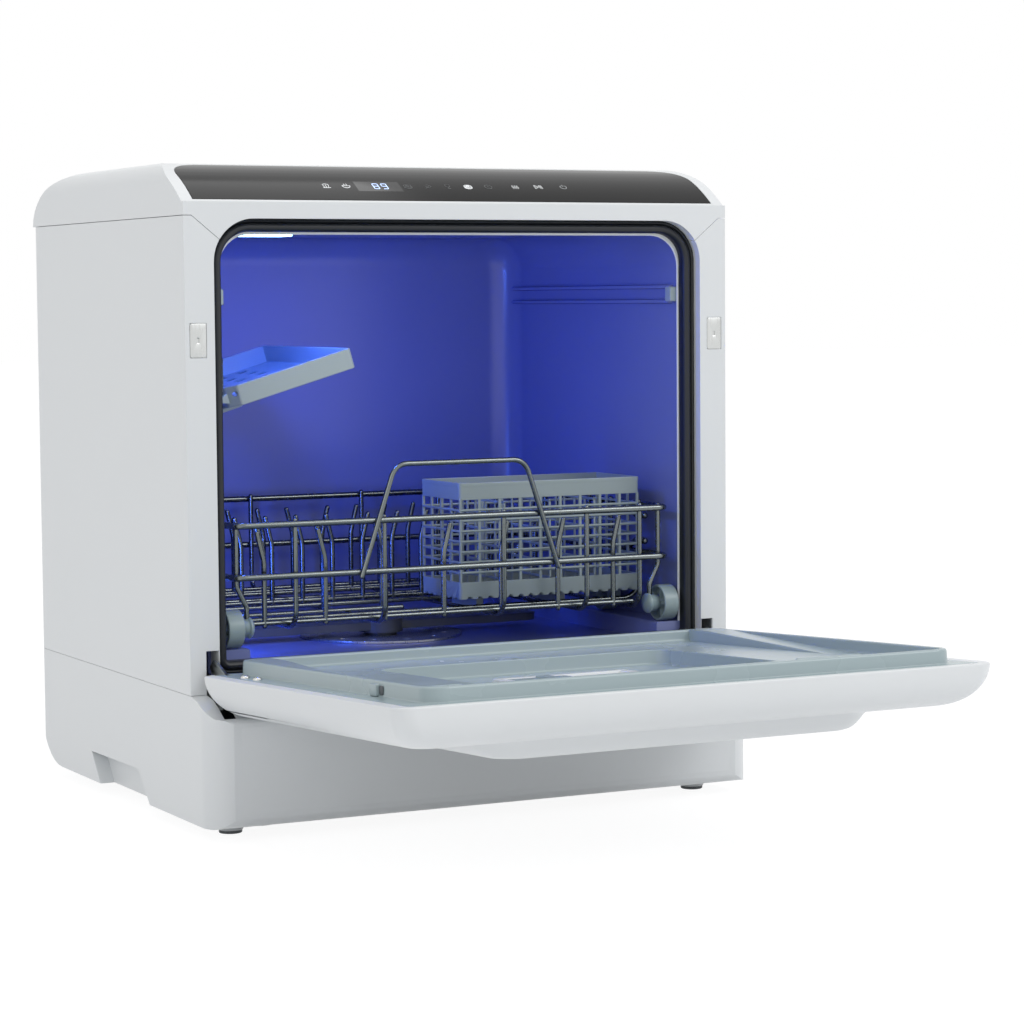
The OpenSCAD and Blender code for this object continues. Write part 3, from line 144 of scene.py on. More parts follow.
def glowing(name, colour, strength):
    material, tree, surface, coords = startMaterial(name)
    mottled(tree, coords, surface, colour, 0.05, 300)
    surface.inputs["Emission Color"].default_value = colour
    surface.inputs["Emission Strength"].default_value = strength
    surface.inputs["Roughness"].default_value = 0.3
    return material


shellWhite = moulded("shellWhite", linear(226, 229, 231), 0.36)
frameWhite = moulded("frameWhite", linear(236, 239, 240), 0.24, depth=0.004, coat=0.3)
rearGrey = moulded("rearGrey", linear(206, 210, 213), 0.5, grain=0.0018, depth=0.05)
linerGrey = moulded("linerGrey", linear(164, 180, 184), 0.26, depth=0.006)
wheelGrey = moulded("wheelGrey", linear(146, 164, 168), 0.36)
shelfGrey = moulded("shelfGrey", linear(170, 184, 188), 0.34)
basketGrey = moulded("basketGrey", linear(150, 164, 167), 0.36)
hubGrey = moulded("hubGrey", linear(150, 170, 174), 0.36)
sealRubber = moulded("sealRubber", linear(24, 28, 34), 0.42, grain=0.0007, depth=0.02)
hoseRubber = moulded("hoseRubber", linear(38, 40, 44), 0.6, grain=0.0009, depth=0.04)
workGrey = moulded("workGrey", linear(86, 90, 94), 0.5, grain=0.0014, depth=0.05)
fanBlack = moulded("fanBlack", linear(26, 27, 30), 0.45)
footRubber = moulded("footRubber", linear(92, 97, 100), 0.6, grain=0.0008, depth=0.05)
boardGreen = moulded("boardGreen", linear(26, 84, 52), 0.35, spread=0.2, coat=0.4)
tankMilky = moulded("tankMilky", linear(216, 222, 228), 0.3, spread=0.03)
cupWhite = moulded("cupWhite", linear(232, 235, 236), 0.3)
# tub plastic tinted deep blue: the blue is painted light from the blue cavity lamp, laid over the plastic's
# own paler grey
tubPaintedBlueGlow = moulded("tubPaintedBlueGlow", linear(122, 132, 186), 0.24, spread=0.04, depth=0.003)
glassBlack = moulded("glassBlack", linear(13, 13, 14), 0.14, depth=0.0005)
glassBlack.node_tree.nodes["Principled BSDF"].inputs["IOR"].default_value = 1.26
wireSteel = drawnMetal("wireSteel", linear(116, 122, 122), 0.24, scale=260, depth=0.001)
plateSteel = drawnMetal("plateSteel", linear(206, 208, 207), 0.32, (1, 1, 0.08), 1400)
hingeSteel = drawnMetal("hingeSteel", linear(150, 154, 155), 0.34, (1, 0.15, 1), 700)
screwSteel = drawnMetal("screwSteel", linear(210, 210, 208), 0.16)
lampLens = glowing("lampLens", linear(150, 205, 255), 9.0)
iconLit = glowing("iconLit", linear(225, 228, 230), 0.75)
iconSoft = glowing("iconSoft", linear(165, 168, 170), 0.35)
iconDim = glowing("iconDim", linear(96, 98, 100), 0.12)
digitGlow = glowing("digitGlow", linear(190, 212, 255), 1.1)
windowBlack = moulded("windowBlack", linear(6, 6, 9), 0.1, depth=0.0005)
print("finishes mixed")


# meshes

def addPiece(name, mesh, material, body, *nodes):
    piece = bpy.data.objects.new(name, mesh)
    bpy.context.scene.collection.objects.link(piece)
    mesh.materials.clear()
    mesh.materials.append(material)
    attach(piece, body)
    if nodes:
        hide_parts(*nodes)
    return piece


def settle(piece):
    # what the modifiers make of a piece becomes its own plain mesh
    graph = bpy.context.evaluated_depsgraph_get()
    mesh = bpy.data.meshes.new_from_object(piece.evaluated_get(graph), preserve_all_data_layers=True,
                                           depsgraph=graph)
    piece.modifiers.clear()
    piece.data = mesh
    return piece


def weigh(piece):
    # broad faces keep their own shading where a small round runs out beside them
    weights = piece.modifiers.new("shading", "WEIGHTED_NORMAL")
    weights.keep_sharp = True
    return settle(piece)


def softenEdges(piece, width, steps=2):
    bevel = piece.modifiers.new("edge", "BEVEL")
    bevel.limit_method = "ANGLE"
    bevel.angle_limit = math.radians(sharpAngle)
    bevel.width = width
    bevel.segments = steps
    bevel.miter_outer = "MITER_ARC"
    return weigh(piece)


def shadedMesh(work, name, sharp):
    # the built faces as a mesh, smooth between edges sharper than the angle given
    for face in work.faces:
        face.smooth = True
    for edge in work.edges:
        edge.smooth = len(edge.link_faces) == 2 and edge.calc_face_angle(0) < math.radians(sharp)
    mesh = bpy.data.meshes.new(name)
    work.to_mesh(mesh)
    work.free()
    return mesh


def finishMesh(work, name, sharp=sharpAngle):
    bmesh.ops.remove_doubles(work, verts=work.verts, dist=2e-6)
    bmesh.ops.recalc_face_normals(work, faces=work.faces)
    return shadedMesh(work, name, sharp)


def makePiece(name, work, material, body, *nodes, sharp=sharpAngle):
    return addPiece(name, finishMesh(work, name, sharp), material, body, *nodes)


def dressNode(node, material):
    # a node's loose triangles joined to whole faces and softened
    work = bmesh.new()
    work.from_mesh(frame["nodes"][node].data)
    bmesh.ops.remove_doubles(work, verts=work.verts, dist=3e-6)
    bmesh.ops.dissolve_limit(work, angle_limit=math.radians(0.6), verts=work.verts, edges=work.edges)
    # a face round a hole is split, or it fills wrongly
    bmesh.ops.connect_verts_concave(work, faces=work.faces)
    mesh = shadedMesh(work, node + "_skin", sharpAngle)
    return softenEdges(addPiece(node + "_skin", mesh, material, nodeBody[node], node), 0.5 * mm)


plainFinishes = {
    "base_shell": shellWhite, "side_panel_left": shellWhite, "side_panel_right": shellWhite,
    "top_cover": shellWhite, "control_glass": glassBlack, "control_board": boardGreen,
    "rear_cover": rearGrey, "cavity_lamp": lampLens, "sump": workGrey, "filter": plateSteel,
    "spray_bearing": workGrey, "spray_arm": workGrey, "wash_pump": workGrey,
    "pump_impeller": cupWhite, "drain_pump": workGrey, "heater": hingeSteel, "hoses": hoseRubber,
    "water_tank": tankMilky, "fill_funnel": tankMilky, "fill_lid": shellWhite, "lid_pin": screwSteel,
    "fan_housing": workGrey, "fan_rotor": fanBlack, "inlet_valve": cupWhite, "drain_spigot": workGrey,
    "power_inlet": fanBlack, "hinge_brackets": hingeSteel, "hinge_springs": hingeSteel,
    "cabinet_screws": screwSteel, "hinge_arms": hingeSteel, "detergent_cup": cupWhite,
    "detergent_lid": linerGrey,
}
for node, finish in plainFinishes.items():
    dressNode(node, finish)
print("shells dressed")


# rack wires

def wireTree():
    # every edge path becomes a round wire: bends filleted by "bend", radius from "thick", balls on open ends
    tree = bpy.data.node_groups.new("roundWire", "GeometryNodeTree")
    tree.is_modifier = True
    face = tree.interface
    face.new_socket("Geometry", in_out="INPUT", socket_type="NodeSocketGeometry")
    face.new_socket("Sides", in_out="INPUT", socket_type="NodeSocketInt")
    face.new_socket("Bend steps", in_out="INPUT", socket_type="NodeSocketInt")
    face.new_socket("Finish", in_out="INPUT", socket_type="NodeSocketMaterial")
    face.new_socket("Geometry", in_out="OUTPUT", socket_type="NodeSocketGeometry")
    ask = addNode(tree, "NodeGroupInput").outputs
    give = addNode(tree, "NodeGroupOutput")
    thick = addNode(tree, "GeometryNodeInputNamedAttribute", {"Name": "thick"},
                    data_type="FLOAT").outputs["Attribute"]
    bend = addNode(tree, "GeometryNodeInputNamedAttribute", {"Name": "bend"},
                   data_type="FLOAT").outputs["Attribute"]
    path = addNode(tree, "GeometryNodeMeshToCurve", {"Mesh": ask["Geometry"]})
    sized = addNode(tree, "GeometryNodeSetCurveRadius", {"Curve": path.outputs[0], "Radius": thick})
    round_ = addNode(tree, "GeometryNodeFilletCurve",
                     {"Curve": sized.outputs[0], "Radius": bend, "Limit Radius": True,
                      "Count": ask["Bend steps"]}, mode="POLY")
    ring = addNode(tree, "GeometryNodeCurvePrimitiveCircle", {"Resolution": ask["Sides"], "Radius": 1.0})
    tube = addNode(tree, "GeometryNodeCurveToMesh",
                   {"Curve": round_.outputs[0], "Profile Curve": ring.outputs[0],
                    "Scale": thick, "Fill Caps": True})
    tips = addNode(tree, "GeometryNodeCurveEndpointSelection")
    ball = addNode(tree, "GeometryNodeMeshUVSphere", {"Segments": ask["Sides"], "Rings": 8, "Radius": 1.0})
    ends = addNode(tree, "GeometryNodeInstanceOnPoints",
                   {"Points": sized.outputs[0], "Selection": tips.outputs[0],
                    "Instance": ball.outputs[0], "Scale": thick})
    both = addNode(tree, "GeometryNodeJoinGeometry")
    tree.links.new(tube.outputs[0], both.inputs[0])
    tree.links.new(ends.outputs[0], both.inputs[0])
    smooth = addNode(tree, "GeometryNodeSetShadeSmooth", {"Geometry": both.outputs[0]})
    real = addNode(tree, "GeometryNodeRealizeInstances", {"Geometry": smooth.outputs[0]})
    paint = addNode(tree, "GeometryNodeSetMaterial", {"Geometry": real.outputs[0], "Material": ask["Finish"]})
    tree.links.new(paint.outputs[0], give.inputs[0])
    return tree


def setInput(modifier, label, value):
    for item in modifier.node_group.interface.items_tree:
        if item.item_type == "SOCKET" and item.in_out == "INPUT" and item.name == label:
            modifier[item.identifier] = value


def layWires(name, wires, material, body, *nodes, sides=16, bendSteps=8):
    # each wire is (points, radius, bend radius)
    mesh = bpy.data.meshes.new(name)
    points, edges, thick, bend = [], [], [], []
    for path, radius, turn in wires:
        edges += [(len(points) + i, len(points) + i + 1) for i in range(len(path) - 1)]
        points += [tuple(p) for p in path]
        thick += [radius] * len(path)
        bend += [turn] * len(path)
    mesh.from_pydata(points, edges, [])
    for label, values in (("thick", thick), ("bend", bend)):
        mesh.attributes.new(label, "FLOAT", "POINT").data.foreach_set("value", values)
    piece = bpy.data.objects.new(name, mesh)
    bpy.context.scene.collection.objects.link(piece)
    grow = piece.modifiers.new("wire", "NODES")
    grow.node_group = roundWire
    for label, value in (("Sides", sides), ("Bend steps", bendSteps), ("Finish", material)):
        setInput(grow, label, value)
    settle(piece)
    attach(piece, body)
    if nodes:
        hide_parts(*nodes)


roundWire = wireTree()
wheelLow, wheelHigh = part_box("wheel_left_1")
axle = (wheelLow + wheelHigh) / 2
rack = {
    "railX": 174, "depth": 262, "rail": 2.4, "rearRail": 2.2, "wire": 1.9,
    "lowRail": 34.5, "topRail": 71, "kink": 8.5, "railCorner": 8,
    "crossY": (37, 116, 166, 212, 250), "longX": (-127, -58, 38, 107, 152), "stubY": (81, 190),
    "wheelY": (8, 98, 235), "axleUp": -1.4, "hubIn": 162.7,
    "tineRows": ((16, -146, 136, 47, 11), (68, -125, -31, 47, 16), (150, -110, 140, 25, 16),
                 (228, -110, 140, 25, 16)),
    "tineUp": 64, "tineLean": 5, "handleFoot": 79, "handleTop": 52, "handleRise": 40,
    "postY": (62, 135, 208), "shelfUp": 158, "loopUp": 34, "loopY": (24, 228),
}
rackSpot = Vector((0, axle.y - rack["wheelY"][0] * mm, axle.z - rack["axleUp"] * mm))


def onRack(x, y, z):
    return rackSpot + Vector((x, y, z)) * mm


def wire(radius, bend, *places):
    return [onRack(*place) for place in places], radius * mm, bend * mm


def railWires():
    r, wires = rack, []
    x, rail, depth = r["railX"], r["rail"], r["depth"]
    for z, kink in ((r["lowRail"], r["kink"]), (r["topRail"], -r["kink"])):
        wires.append(wire(rail, r["railCorner"], (-x, 54, z), (-x, 0, z), (x, 0, z), (x, 54, z)))
        wires.append(wire(rail - 0.02, 12, (-x, 200, z), (-x, depth, z), (x, depth, z), (x, 200, z)))
        for side in (-1, 1):
            start, out = r["crossY"][0] - 3, side * x
            wires.append(wire(rail, 6, (out, start, z + kink), (out, start + 13, z + kink), (out, 66, z),
                              (out, 215, z)))
    return wires


def floorWires():
    r, wires = rack, []
    thick = r["wire"]
    inner = r["railX"] - r["rail"] - thick + 0.6
    start = r["rail"] + thick - 0.6
    end = r["depth"] - start
    top, under = r["topRail"] + 2.2, -2 * thick + 0.6
    for y in r["crossY"]:
        wires.append(wire(thick, 14, (-inner, y, top), (-inner, y, 0), (inner, y, 0), (inner, y, top)))
    for x in r["longX"]:
        wires.append(wire(thick, 13, (x, start, top), (x, start, under), (x, end, under), (x, end, top)))
    for side in (-1, 1):
        out, hubIn = side * inner, side * r["hubIn"]
        for y in r["stubY"]:
            wires.append(wire(thick, 0, (out, y, r["lowRail"] - 3), (out, y, top)))
        for y in r["wheelY"]:
            wires.append(wire(thick, 7, (out, y, top - 1), (out, y, 28), (hubIn, y, 13), (hubIn, y, 3)))
    return wires


def tineWires():
    r, wires = rack, []
    for y, first, last, pitch, over in r["tineRows"]:
        wires.append(wire(r["wire"], 0, (first - over, y, 0), (last + 16, y, 0)))
        for x in range(first, last + 1, pitch):
            lean = -r["tineLean"] if x < -20 else r["tineLean"]
            wires.append(wire(r["wire"], 30, (x, y, -2), (x, y, r["tineUp"] - 20),
                              (x + lean, y, r["tineUp"])))
    return wires


def handleWires():
    r = rack
    y, low, high = -(r["rail"] + r["wire"]) + 0.6, r["lowRail"] - 3, r["topRail"] + r["handleRise"]
    foot, top = r["handleFoot"], r["handleTop"]
    return [wire(r["wire"], 13, (-foot, y, low), (-top, y, high), (top, y, high), (foot, y, low))]


def postWires():
    r = rack
    post = -r["railX"] + r["rail"] + r["wire"] - 0.6
    pivot = post - 2 * r["wire"] + 0.6
    low, high = r["shelfUp"], r["shelfUp"] + r["loopUp"]
    y0, y1 = r["loopY"]
    middle = (y0 + y1) / 2
    wires = [wire(r["wire"], 0, (post, y, r["lowRail"] - 3), (post, y, high + 2.4)) for y in r["postY"]]
    for end, over in ((y0, middle + 0.5), (y1, middle - 0.5)):
        wires.append(wire(r["wire"], 8, (pivot, over, low), (pivot, end, low), (pivot, end, high),
                          (pivot, over, high)))
    return wires


layWires("rackFrame", railWires() + floorWires(), wireSteel, "rack",
         "rack_rails", "rack_cross_wires", "rack_long_wires", "rack_arms")
layWires("rackTines", tineWires(), wireSteel, "rack", "rack_tines")
layWires("rackHandle", handleWires(), wireSteel, "rack", "rack_handle")
layWires("rackPosts", postWires(), wireSteel, "rack", "rack_posts")
print("rack wires laid")


# shapes lofted, turned and cut

def outline(x0, x1, y0, y1, corner, low=None, steps=8):
    # rounded rectangle, anticlockwise, with the same number of points whatever its size
    points = []
    for sideX, sideY, first in ((1, -1, -90), (1, 1, 0), (-1, 1, 90), (-1, -1, 180)):
        turn = max(corner if sideY > 0 or low is None else low, 0.05)
        cx = (x1 if sideX > 0 else x0) - sideX * turn
        cy = (y1 if sideY > 0 else y0) - sideY * turn
        for i in range(steps + 1):
            angle = math.radians(first + 90 * i / steps)
            points.append((cx + turn * math.cos(angle), cy + turn * math.sin(angle)))
    return points


def inward(inset, x0, x1, y0, y1, corner, low=None, steps=8):
    # the same outline drawn in on all sides
    low = None if low is None else low - inset
    return outline(x0 + inset, x1 - inset, y0 + inset, y1 - inset, corner - inset, low, steps)


def loft(work, rings, loop=False):
    # skins a row of rings, closed at both ends or round in a loop
    rows = [[work.verts.new(point) for point in ring] for ring in rings]
    for low, high in list(zip(rows, rows[1:])) + ([(rows[-1], rows[0])] if loop else []):
        for i in range(len(low)):
            j = (i + 1) % len(low)
            work.faces.new((low[i], low[j], high[j], high[i]))
    if not loop:
        work.faces.new(rows[0][::-1])
        work.faces.new(rows[-1])


def turn(work, profile, place, axis="x", steps=40, loop=False):
    # spins (along, radius) pairs in mm round an axis through the place
    rings = []
    for along, radius in profile:
        ring = []
        for i in range(steps):
            c, s = radius * math.cos(math.tau * i / steps), radius * math.sin(math.tau * i / steps)
            ring.append(place + Vector({"x": (along, c, s), "y": (s, along, c),
                                        "z": (c, s, along)}[axis]) * mm)
        rings.append(ring)
    loft(work, rings, loop=loop)


def slab(work, low, high, spot):
    # a box between two corners, each corner put in its place by spot
    (x0, y0, z0), (x1, y1, z1) = low, high
    loft(work, [[spot(x, y, z) for x, y in ((x0, y0), (x1, y0), (x1, y1), (x0, y1))] for z in (z0, z1)])


def carve(piece, work):
    # takes the volume of the built faces out of the piece
    tool = bpy.data.objects.new("cut", finishMesh(work, "cut"))
    bpy.context.scene.collection.objects.link(tool)
    cut = piece.modifiers.new("cut", "BOOLEAN")
    cut.operation = "DIFFERENCE"
    cut.solver = "MANIFOLD"
    cut.object = tool
    settle(piece)
    bpy.data.objects.remove(tool)


def inCabinet(x, y, z):
    # a place measured in mm from the front frame's face, as the cabinet is drawn
    return Vector((x * mm, frontY + y * mm, z * mm))


# door gasket: one bulb and one lip of soft rubber, swept round the opening
gasket = {"mouth": (-193, 193, 110, 425.5, 30, 11),
          "profile": ((0, 16), (0, 9.6), (0.5, 8.5), (1.5, 8.1), (2.3, 8.6), (2.7, 9.6), (3.1, 8.7),
                      (4.2, 7.6), (5.7, 7.2), (7.2, 7.7), (8.3, 8.9), (8.9, 10.6), (9, 12.4),
                      (9, 16))}


def buildGasket():
    g, work = gasket, bmesh.new()
    loft(work, [[inCabinet(x, depth, z) for x, z in inward(inset, *g["mouth"], 14)]
                for inset, depth in g["profile"]], loop=True)
    makePiece("doorGasket", work, sealRubber, "cabinet", "tub_gasket", sharp=50)


# catch plates: pressed steel with soft corners and one dimpled hole
catchPlate = {"edge": (199.2, 211.3, 330.2, 353.8, 1.6), "proud": 0.12, "face": 0.5, "hole": 1.5}


def buildCatchPlates():
    c, work = catchPlate, bmesh.new()
    inner, outer, low, high, _ = c["edge"]
    middle = ((inner + outer) / 2, (low + high) / 2)
    for side in (-1, 1):
        rings = []
        for inset, depth in ((0, 0.95), (0, 0.45), (0.15, 0.22), (c["face"], c["proud"])):
            rings.append([inCabinet(side * x, depth, z) for x, z in inward(inset, *c["edge"])])
        for radius, depth in ((c["hole"] + 0.9, 0.12), (c["hole"] + 0.3, 0.3), (c["hole"], 0.6),
                              (c["hole"], 0.9)):
            ring = []
            for x, z in inward(c["face"], *c["edge"]):
                away = Vector((x - middle[0], z - middle[1])).normalized() * radius
                ring.append(inCabinet(side * (middle[0] + away.x), depth, middle[1] + away.y))
            rings.append(ring)
        loft(work, rings)
    makePiece("catchPlates", work, plateSteel, "cabinet", "catch_plates")


# icons, digits and display window of the control glass
panel = {"noseStart": 3, "noseDepth": 72, "noseLow": 437, "noseRise": 29, "noseEase": 1.9, "iconSize": 6.2,
         "stroke": 0.2, "digitHeight": 7.2, "digitWidth": 3.9, "digitShare": 0.25, "digitStroke": 0.3,
         "digitBar": 0.78, "window": (-77, -42, 0.165, 0.335)}
perShare = 83.0                                  # mm of glass for one whole share of the nose


def onGlass(x, share, lift=0.0):
    rise = panel["noseLow"] + panel["noseRise"] * (1 - (1 - share) ** panel["noseEase"])
    slope = panel["noseRise"] * panel["noseEase"] * (1 - share) ** (panel["noseEase"] - 1)
    away = Vector((0, -slope, panel["noseDepth"])).normalized() * lift
    return inCabinet(x, panel["noseStart"] + panel["noseDepth"] * share + away.y, rise + away.z)


def arcLine(cx, cy, radius, first, last, steps=12, squash=1.0):
    return [(cx + radius * math.cos(math.radians(first + (last - first) * i / steps)),
             cy + squash * radius * math.sin(math.radians(first + (last - first) * i / steps)))
            for i in range(steps + 1)]


icons = {
    "jets": [[(-0.9, -0.8), (0.9, -0.8)], [(-0.5, -0.5), (-0.7, 0.3)], [(0, -0.5), (0, 0.5)],
             [(0.5, -0.5), (0.7, 0.3)], arcLine(0, 0, 0.95, 40, 140)],
    "bowl": [arcLine(0, 0.1, 0.95, 180, 360), [(-1, 0.1), (1, 0.1)], [(-0.3, 0.4), (-0.3, 0.95)],
             [(0.3, 0.4), (0.3, 0.95)]],
    "plates": [arcLine(0, 0.35, 0.95, 0, 360, 20, 0.5), arcLine(0, 0.35, 0.45, 0, 360, 14, 0.5),
               arcLine(0, 0, 0.95, 180, 360, 12, 0.6), arcLine(0, -0.35, 0.95, 180, 360, 12, 0.6)],
    "clock": [arcLine(0, 0, 0.9, 0, 360, 24), [(0, 0.55), (0, 0), (0.4, -0.25)]],
    "leaf": [arcLine(-0.35, -0.35, 1.15, 10, 80), arcLine(0.55, 0.55, 1.15, 190, 260),
             [(-0.8, -0.8), (0.35, 0.35)]],
    "glass": [[(-0.6, 0.9), (-0.4, -0.2), (0.4, -0.2), (0.6, 0.9), (-0.6, 0.9)], [(0, -0.2), (0, -0.9)],
              [(-0.4, -0.9), (0.4, -0.9)]],
    "fan": [arcLine(0, 0, 0.22, 0, 360, 12)]
    + [arcLine(0.55 * math.cos(math.radians(a)), 0.55 * math.sin(math.radians(a)), 0.38, a - 120, a + 150)
       for a in (90, 210, 330)],
    "warm": [[(x, -0.85), (x + 0.2, -0.4), (x - 0.05, 0.1), (x + 0.15, 0.7)] for x in (-0.65, -0.05, 0.55)],
    "start": [[(-0.9, -0.8), (-0.9, 0.8), (0.1, 0), (-0.9, -0.8)], [(0.45, -0.75), (0.45, 0.75)],
              [(0.9, -0.75), (0.9, 0.75)]],
    "power": [arcLine(0, -0.1, 0.8, 125, 415, 24), [(0, 0.1), (0, 1.0)]],
}
iconRow = (("jets", -99.9, 0.247, "lit"), ("bowl", -84.4, 0.250, "lit"), ("plates", -36.3, 0.250, "dim"),
           ("leaf", -20.3, 0.252, "dim"), ("glass", -4.3, 0.255, "dim"), ("plates", 11.9, 0.258, "lit"),
           ("clock", 28.2, 0.261, "dim"), ("warm", 50.3, 0.266, "lit"), ("start", 69.4, 0.270, "lit"),
           ("power", 90.3, 0.276, "soft"))
digitBars = {"top": ((-1, 1), (1, 1)), "middle": ((-1, 0), (1, 0)), "bottom": ((-1, -1), (1, -1)),
             "leftHigh": ((-1, 1), (-1, 0)), "leftLow": ((-1, 0), (-1, -1)), "rightHigh": ((1, 1), (1, 0)),
             "rightLow": ((1, 0), (1, -1))}
digitRow = ((-61.3, ("top", "middle", "bottom", "leftHigh", "leftLow", "rightHigh", "rightLow")),
            (-54.6, ("top", "middle", "bottom", "leftHigh", "rightHigh", "rightLow")))


def buildPanelMarks():
    strokes = {"lit": [], "dim": [], "soft": []}
    for name, x, share, light in iconRow:
        for line in icons[name]:
            path = [onGlass(x + u * panel["iconSize"] / 2, share + v * panel["iconSize"] / 2 / perShare, 0.03)
                    for u, v in line]
            strokes[light].append((path, panel["stroke"] * mm, 0))
    for light, finish in (("lit", iconLit), ("dim", iconDim), ("soft", iconSoft)):
        layWires("panelIcons_" + light, strokes[light], finish, "cabinet", sides=6, bendSteps=1)
    bars = []
    for x, lit in digitRow:
        for bar in lit:
            (u0, v0), (u1, v1) = digitBars[bar]
            uMid, vMid, short = (u0 + u1) / 2, (v0 + v1) / 2, panel["digitBar"]
            ends = [(uMid + (u - uMid) * short, vMid + (v - vMid) * short) for u, v in ((u0, v0), (u1, v1))]
            bars.append(([onGlass(x + u * panel["digitWidth"] / 2,
                                  panel["digitShare"] + v * panel["digitHeight"] / 2 / perShare, 0.09)
                          for u, v in ends], panel["digitStroke"] * mm, 0))
    layWires("panelDigits", bars, digitGlow, "cabinet", sides=6, bendSteps=1)
    work = bmesh.new()
    x0, x1, low, high = panel["window"]
    rows = []
    for i in range(7):
        share = low + (high - low) * i / 6
        rows.append([onGlass(x0, share, -0.3), onGlass(x1, share, -0.3), onGlass(x1, share, 0.05),
                     onGlass(x0, share, 0.05)])
    loft(work, rows)
    makePiece("displayWindow", work, windowBlack, "cabinet")


# rack wheels: thin rim, five spokes on a middle web, bored hub
wheel = {"radius": 13.5, "half": 6.0, "rim": 1.7, "web": 0.6, "hub": 4.4, "bore": 2.6, "spokes": 5}


def buildWheels():
    w = wheel
    rimIn = w["radius"] - w["rim"]
    half = w["half"]
    right = [(half - 0.8, w["radius"]), (half - 0.25, w["radius"] - 0.2), (half, w["radius"] - 0.7),
             (half, rimIn + 0.3), (half - 0.4, rimIn), (w["web"] + 0.5, rimIn - 0.4), (w["web"], rimIn - 1.2),
             (w["web"], w["hub"] + 0.6), (w["web"] + 0.6, w["hub"]), (half - 1.0, w["hub"] - 0.2),
             (half - 0.7, w["hub"] - 0.6), (half - 0.7, w["bore"])]
    left = [(-along, radius) for along, radius in right[::-1]]
    profile = left[-4:] + right + left[:-4]
    for side, hand in ((-1, "left"), (1, "right")):
        for i, y in enumerate(rack["wheelY"]):
            work = bmesh.new()
            centre = onRack(side * 175, y, rack["axleUp"])
            turn(work, profile, centre, loop=True, steps=56)
            for k in range(w["spokes"]):
                spin = Matrix.Rotation(math.tau * k / w["spokes"] + 0.3, 4, "X")
                for face in (-1, 1):
                    slab(work, (face * w["web"] * 0.5, -0.75, w["hub"] - 0.5),
                         (face * (half - 1.6), 0.75, rimIn + 0.2), lambda *p: centre + spin @ Vector(p) * mm)
            name = f"wheel_{hand}_{i + 1}"
            piece = makePiece(name + "_skin", work, wheelGrey, name, name)
            softenEdges(piece, 0.12 * mm, 1)


# hubs that the rack's arms end in, with their axles
hub = {"inner": 158.7, "radius": 7.6}


def buildHubs():
    work = bmesh.new()
    start = hub["inner"] - 175
    profile = [(start - 0.9, 0.6), (start - 0.7, 2.2), (start + 0.2, 5.2), (start + 1.2, 6.9),
               (start + 2.2, hub["radius"]), (start + 3.2, hub["radius"]), (start + 4.2, 6.6),
               (start + 6.0, 6.3), (start + 9.4, 6.0), (start + 9.9, 5.6),
               (start + 9.9, 2.5), (6.3, 2.5), (6.3, 3.7), (6.6, 4.0), (6.9, 3.9), (7.1, 3.2), (7.1, 0.6)]
    for side in (-1, 1):
        for y in rack["wheelY"]:
            turn(work, [(side * along, radius) for along, radius in profile],
                 onRack(side * 175, y, rack["axleUp"]), steps=36)
    makePiece("wheelHubs", work, hubGrey, "rack", "wheel_hubs")


buildGasket()
buildCatchPlates()
buildPanelMarks()
buildWheels()
buildHubs()
print("seal, panel, wheels and hubs built")


def roundTurn(radius, start, sweep, steps=6):
    # (sideways, along) offsets of a quarter round
    return [(radius * (1 - math.cos(math.radians(start + sweep * i / steps))),
             radius * math.sin(math.radians(start + sweep * i / steps))) for i in range(steps + 1)]


# tub: one moulding with coved rear edges, a rolled front rim, wheel ledges and guide ribs
tub = {"mouth": (-186, 186, 112, 418, 26, 6), "front": 16, "rear": 297, "cove": 22,
       "wall": 3, "flange": (195.5, 109, 428, 32.5), "ledge": (164, 125.7), "ribs": (364.5, 375.5),
       "ribOut": 4, "ribStart": 28, "hole": (156.5, 56), "lampBox": (-160, -118, 26, 56, 4)}


def tubRing(inset, y):
    return [inCabinet(x, y, z) for x, z in inward(inset, *tub["mouth"], 10)]


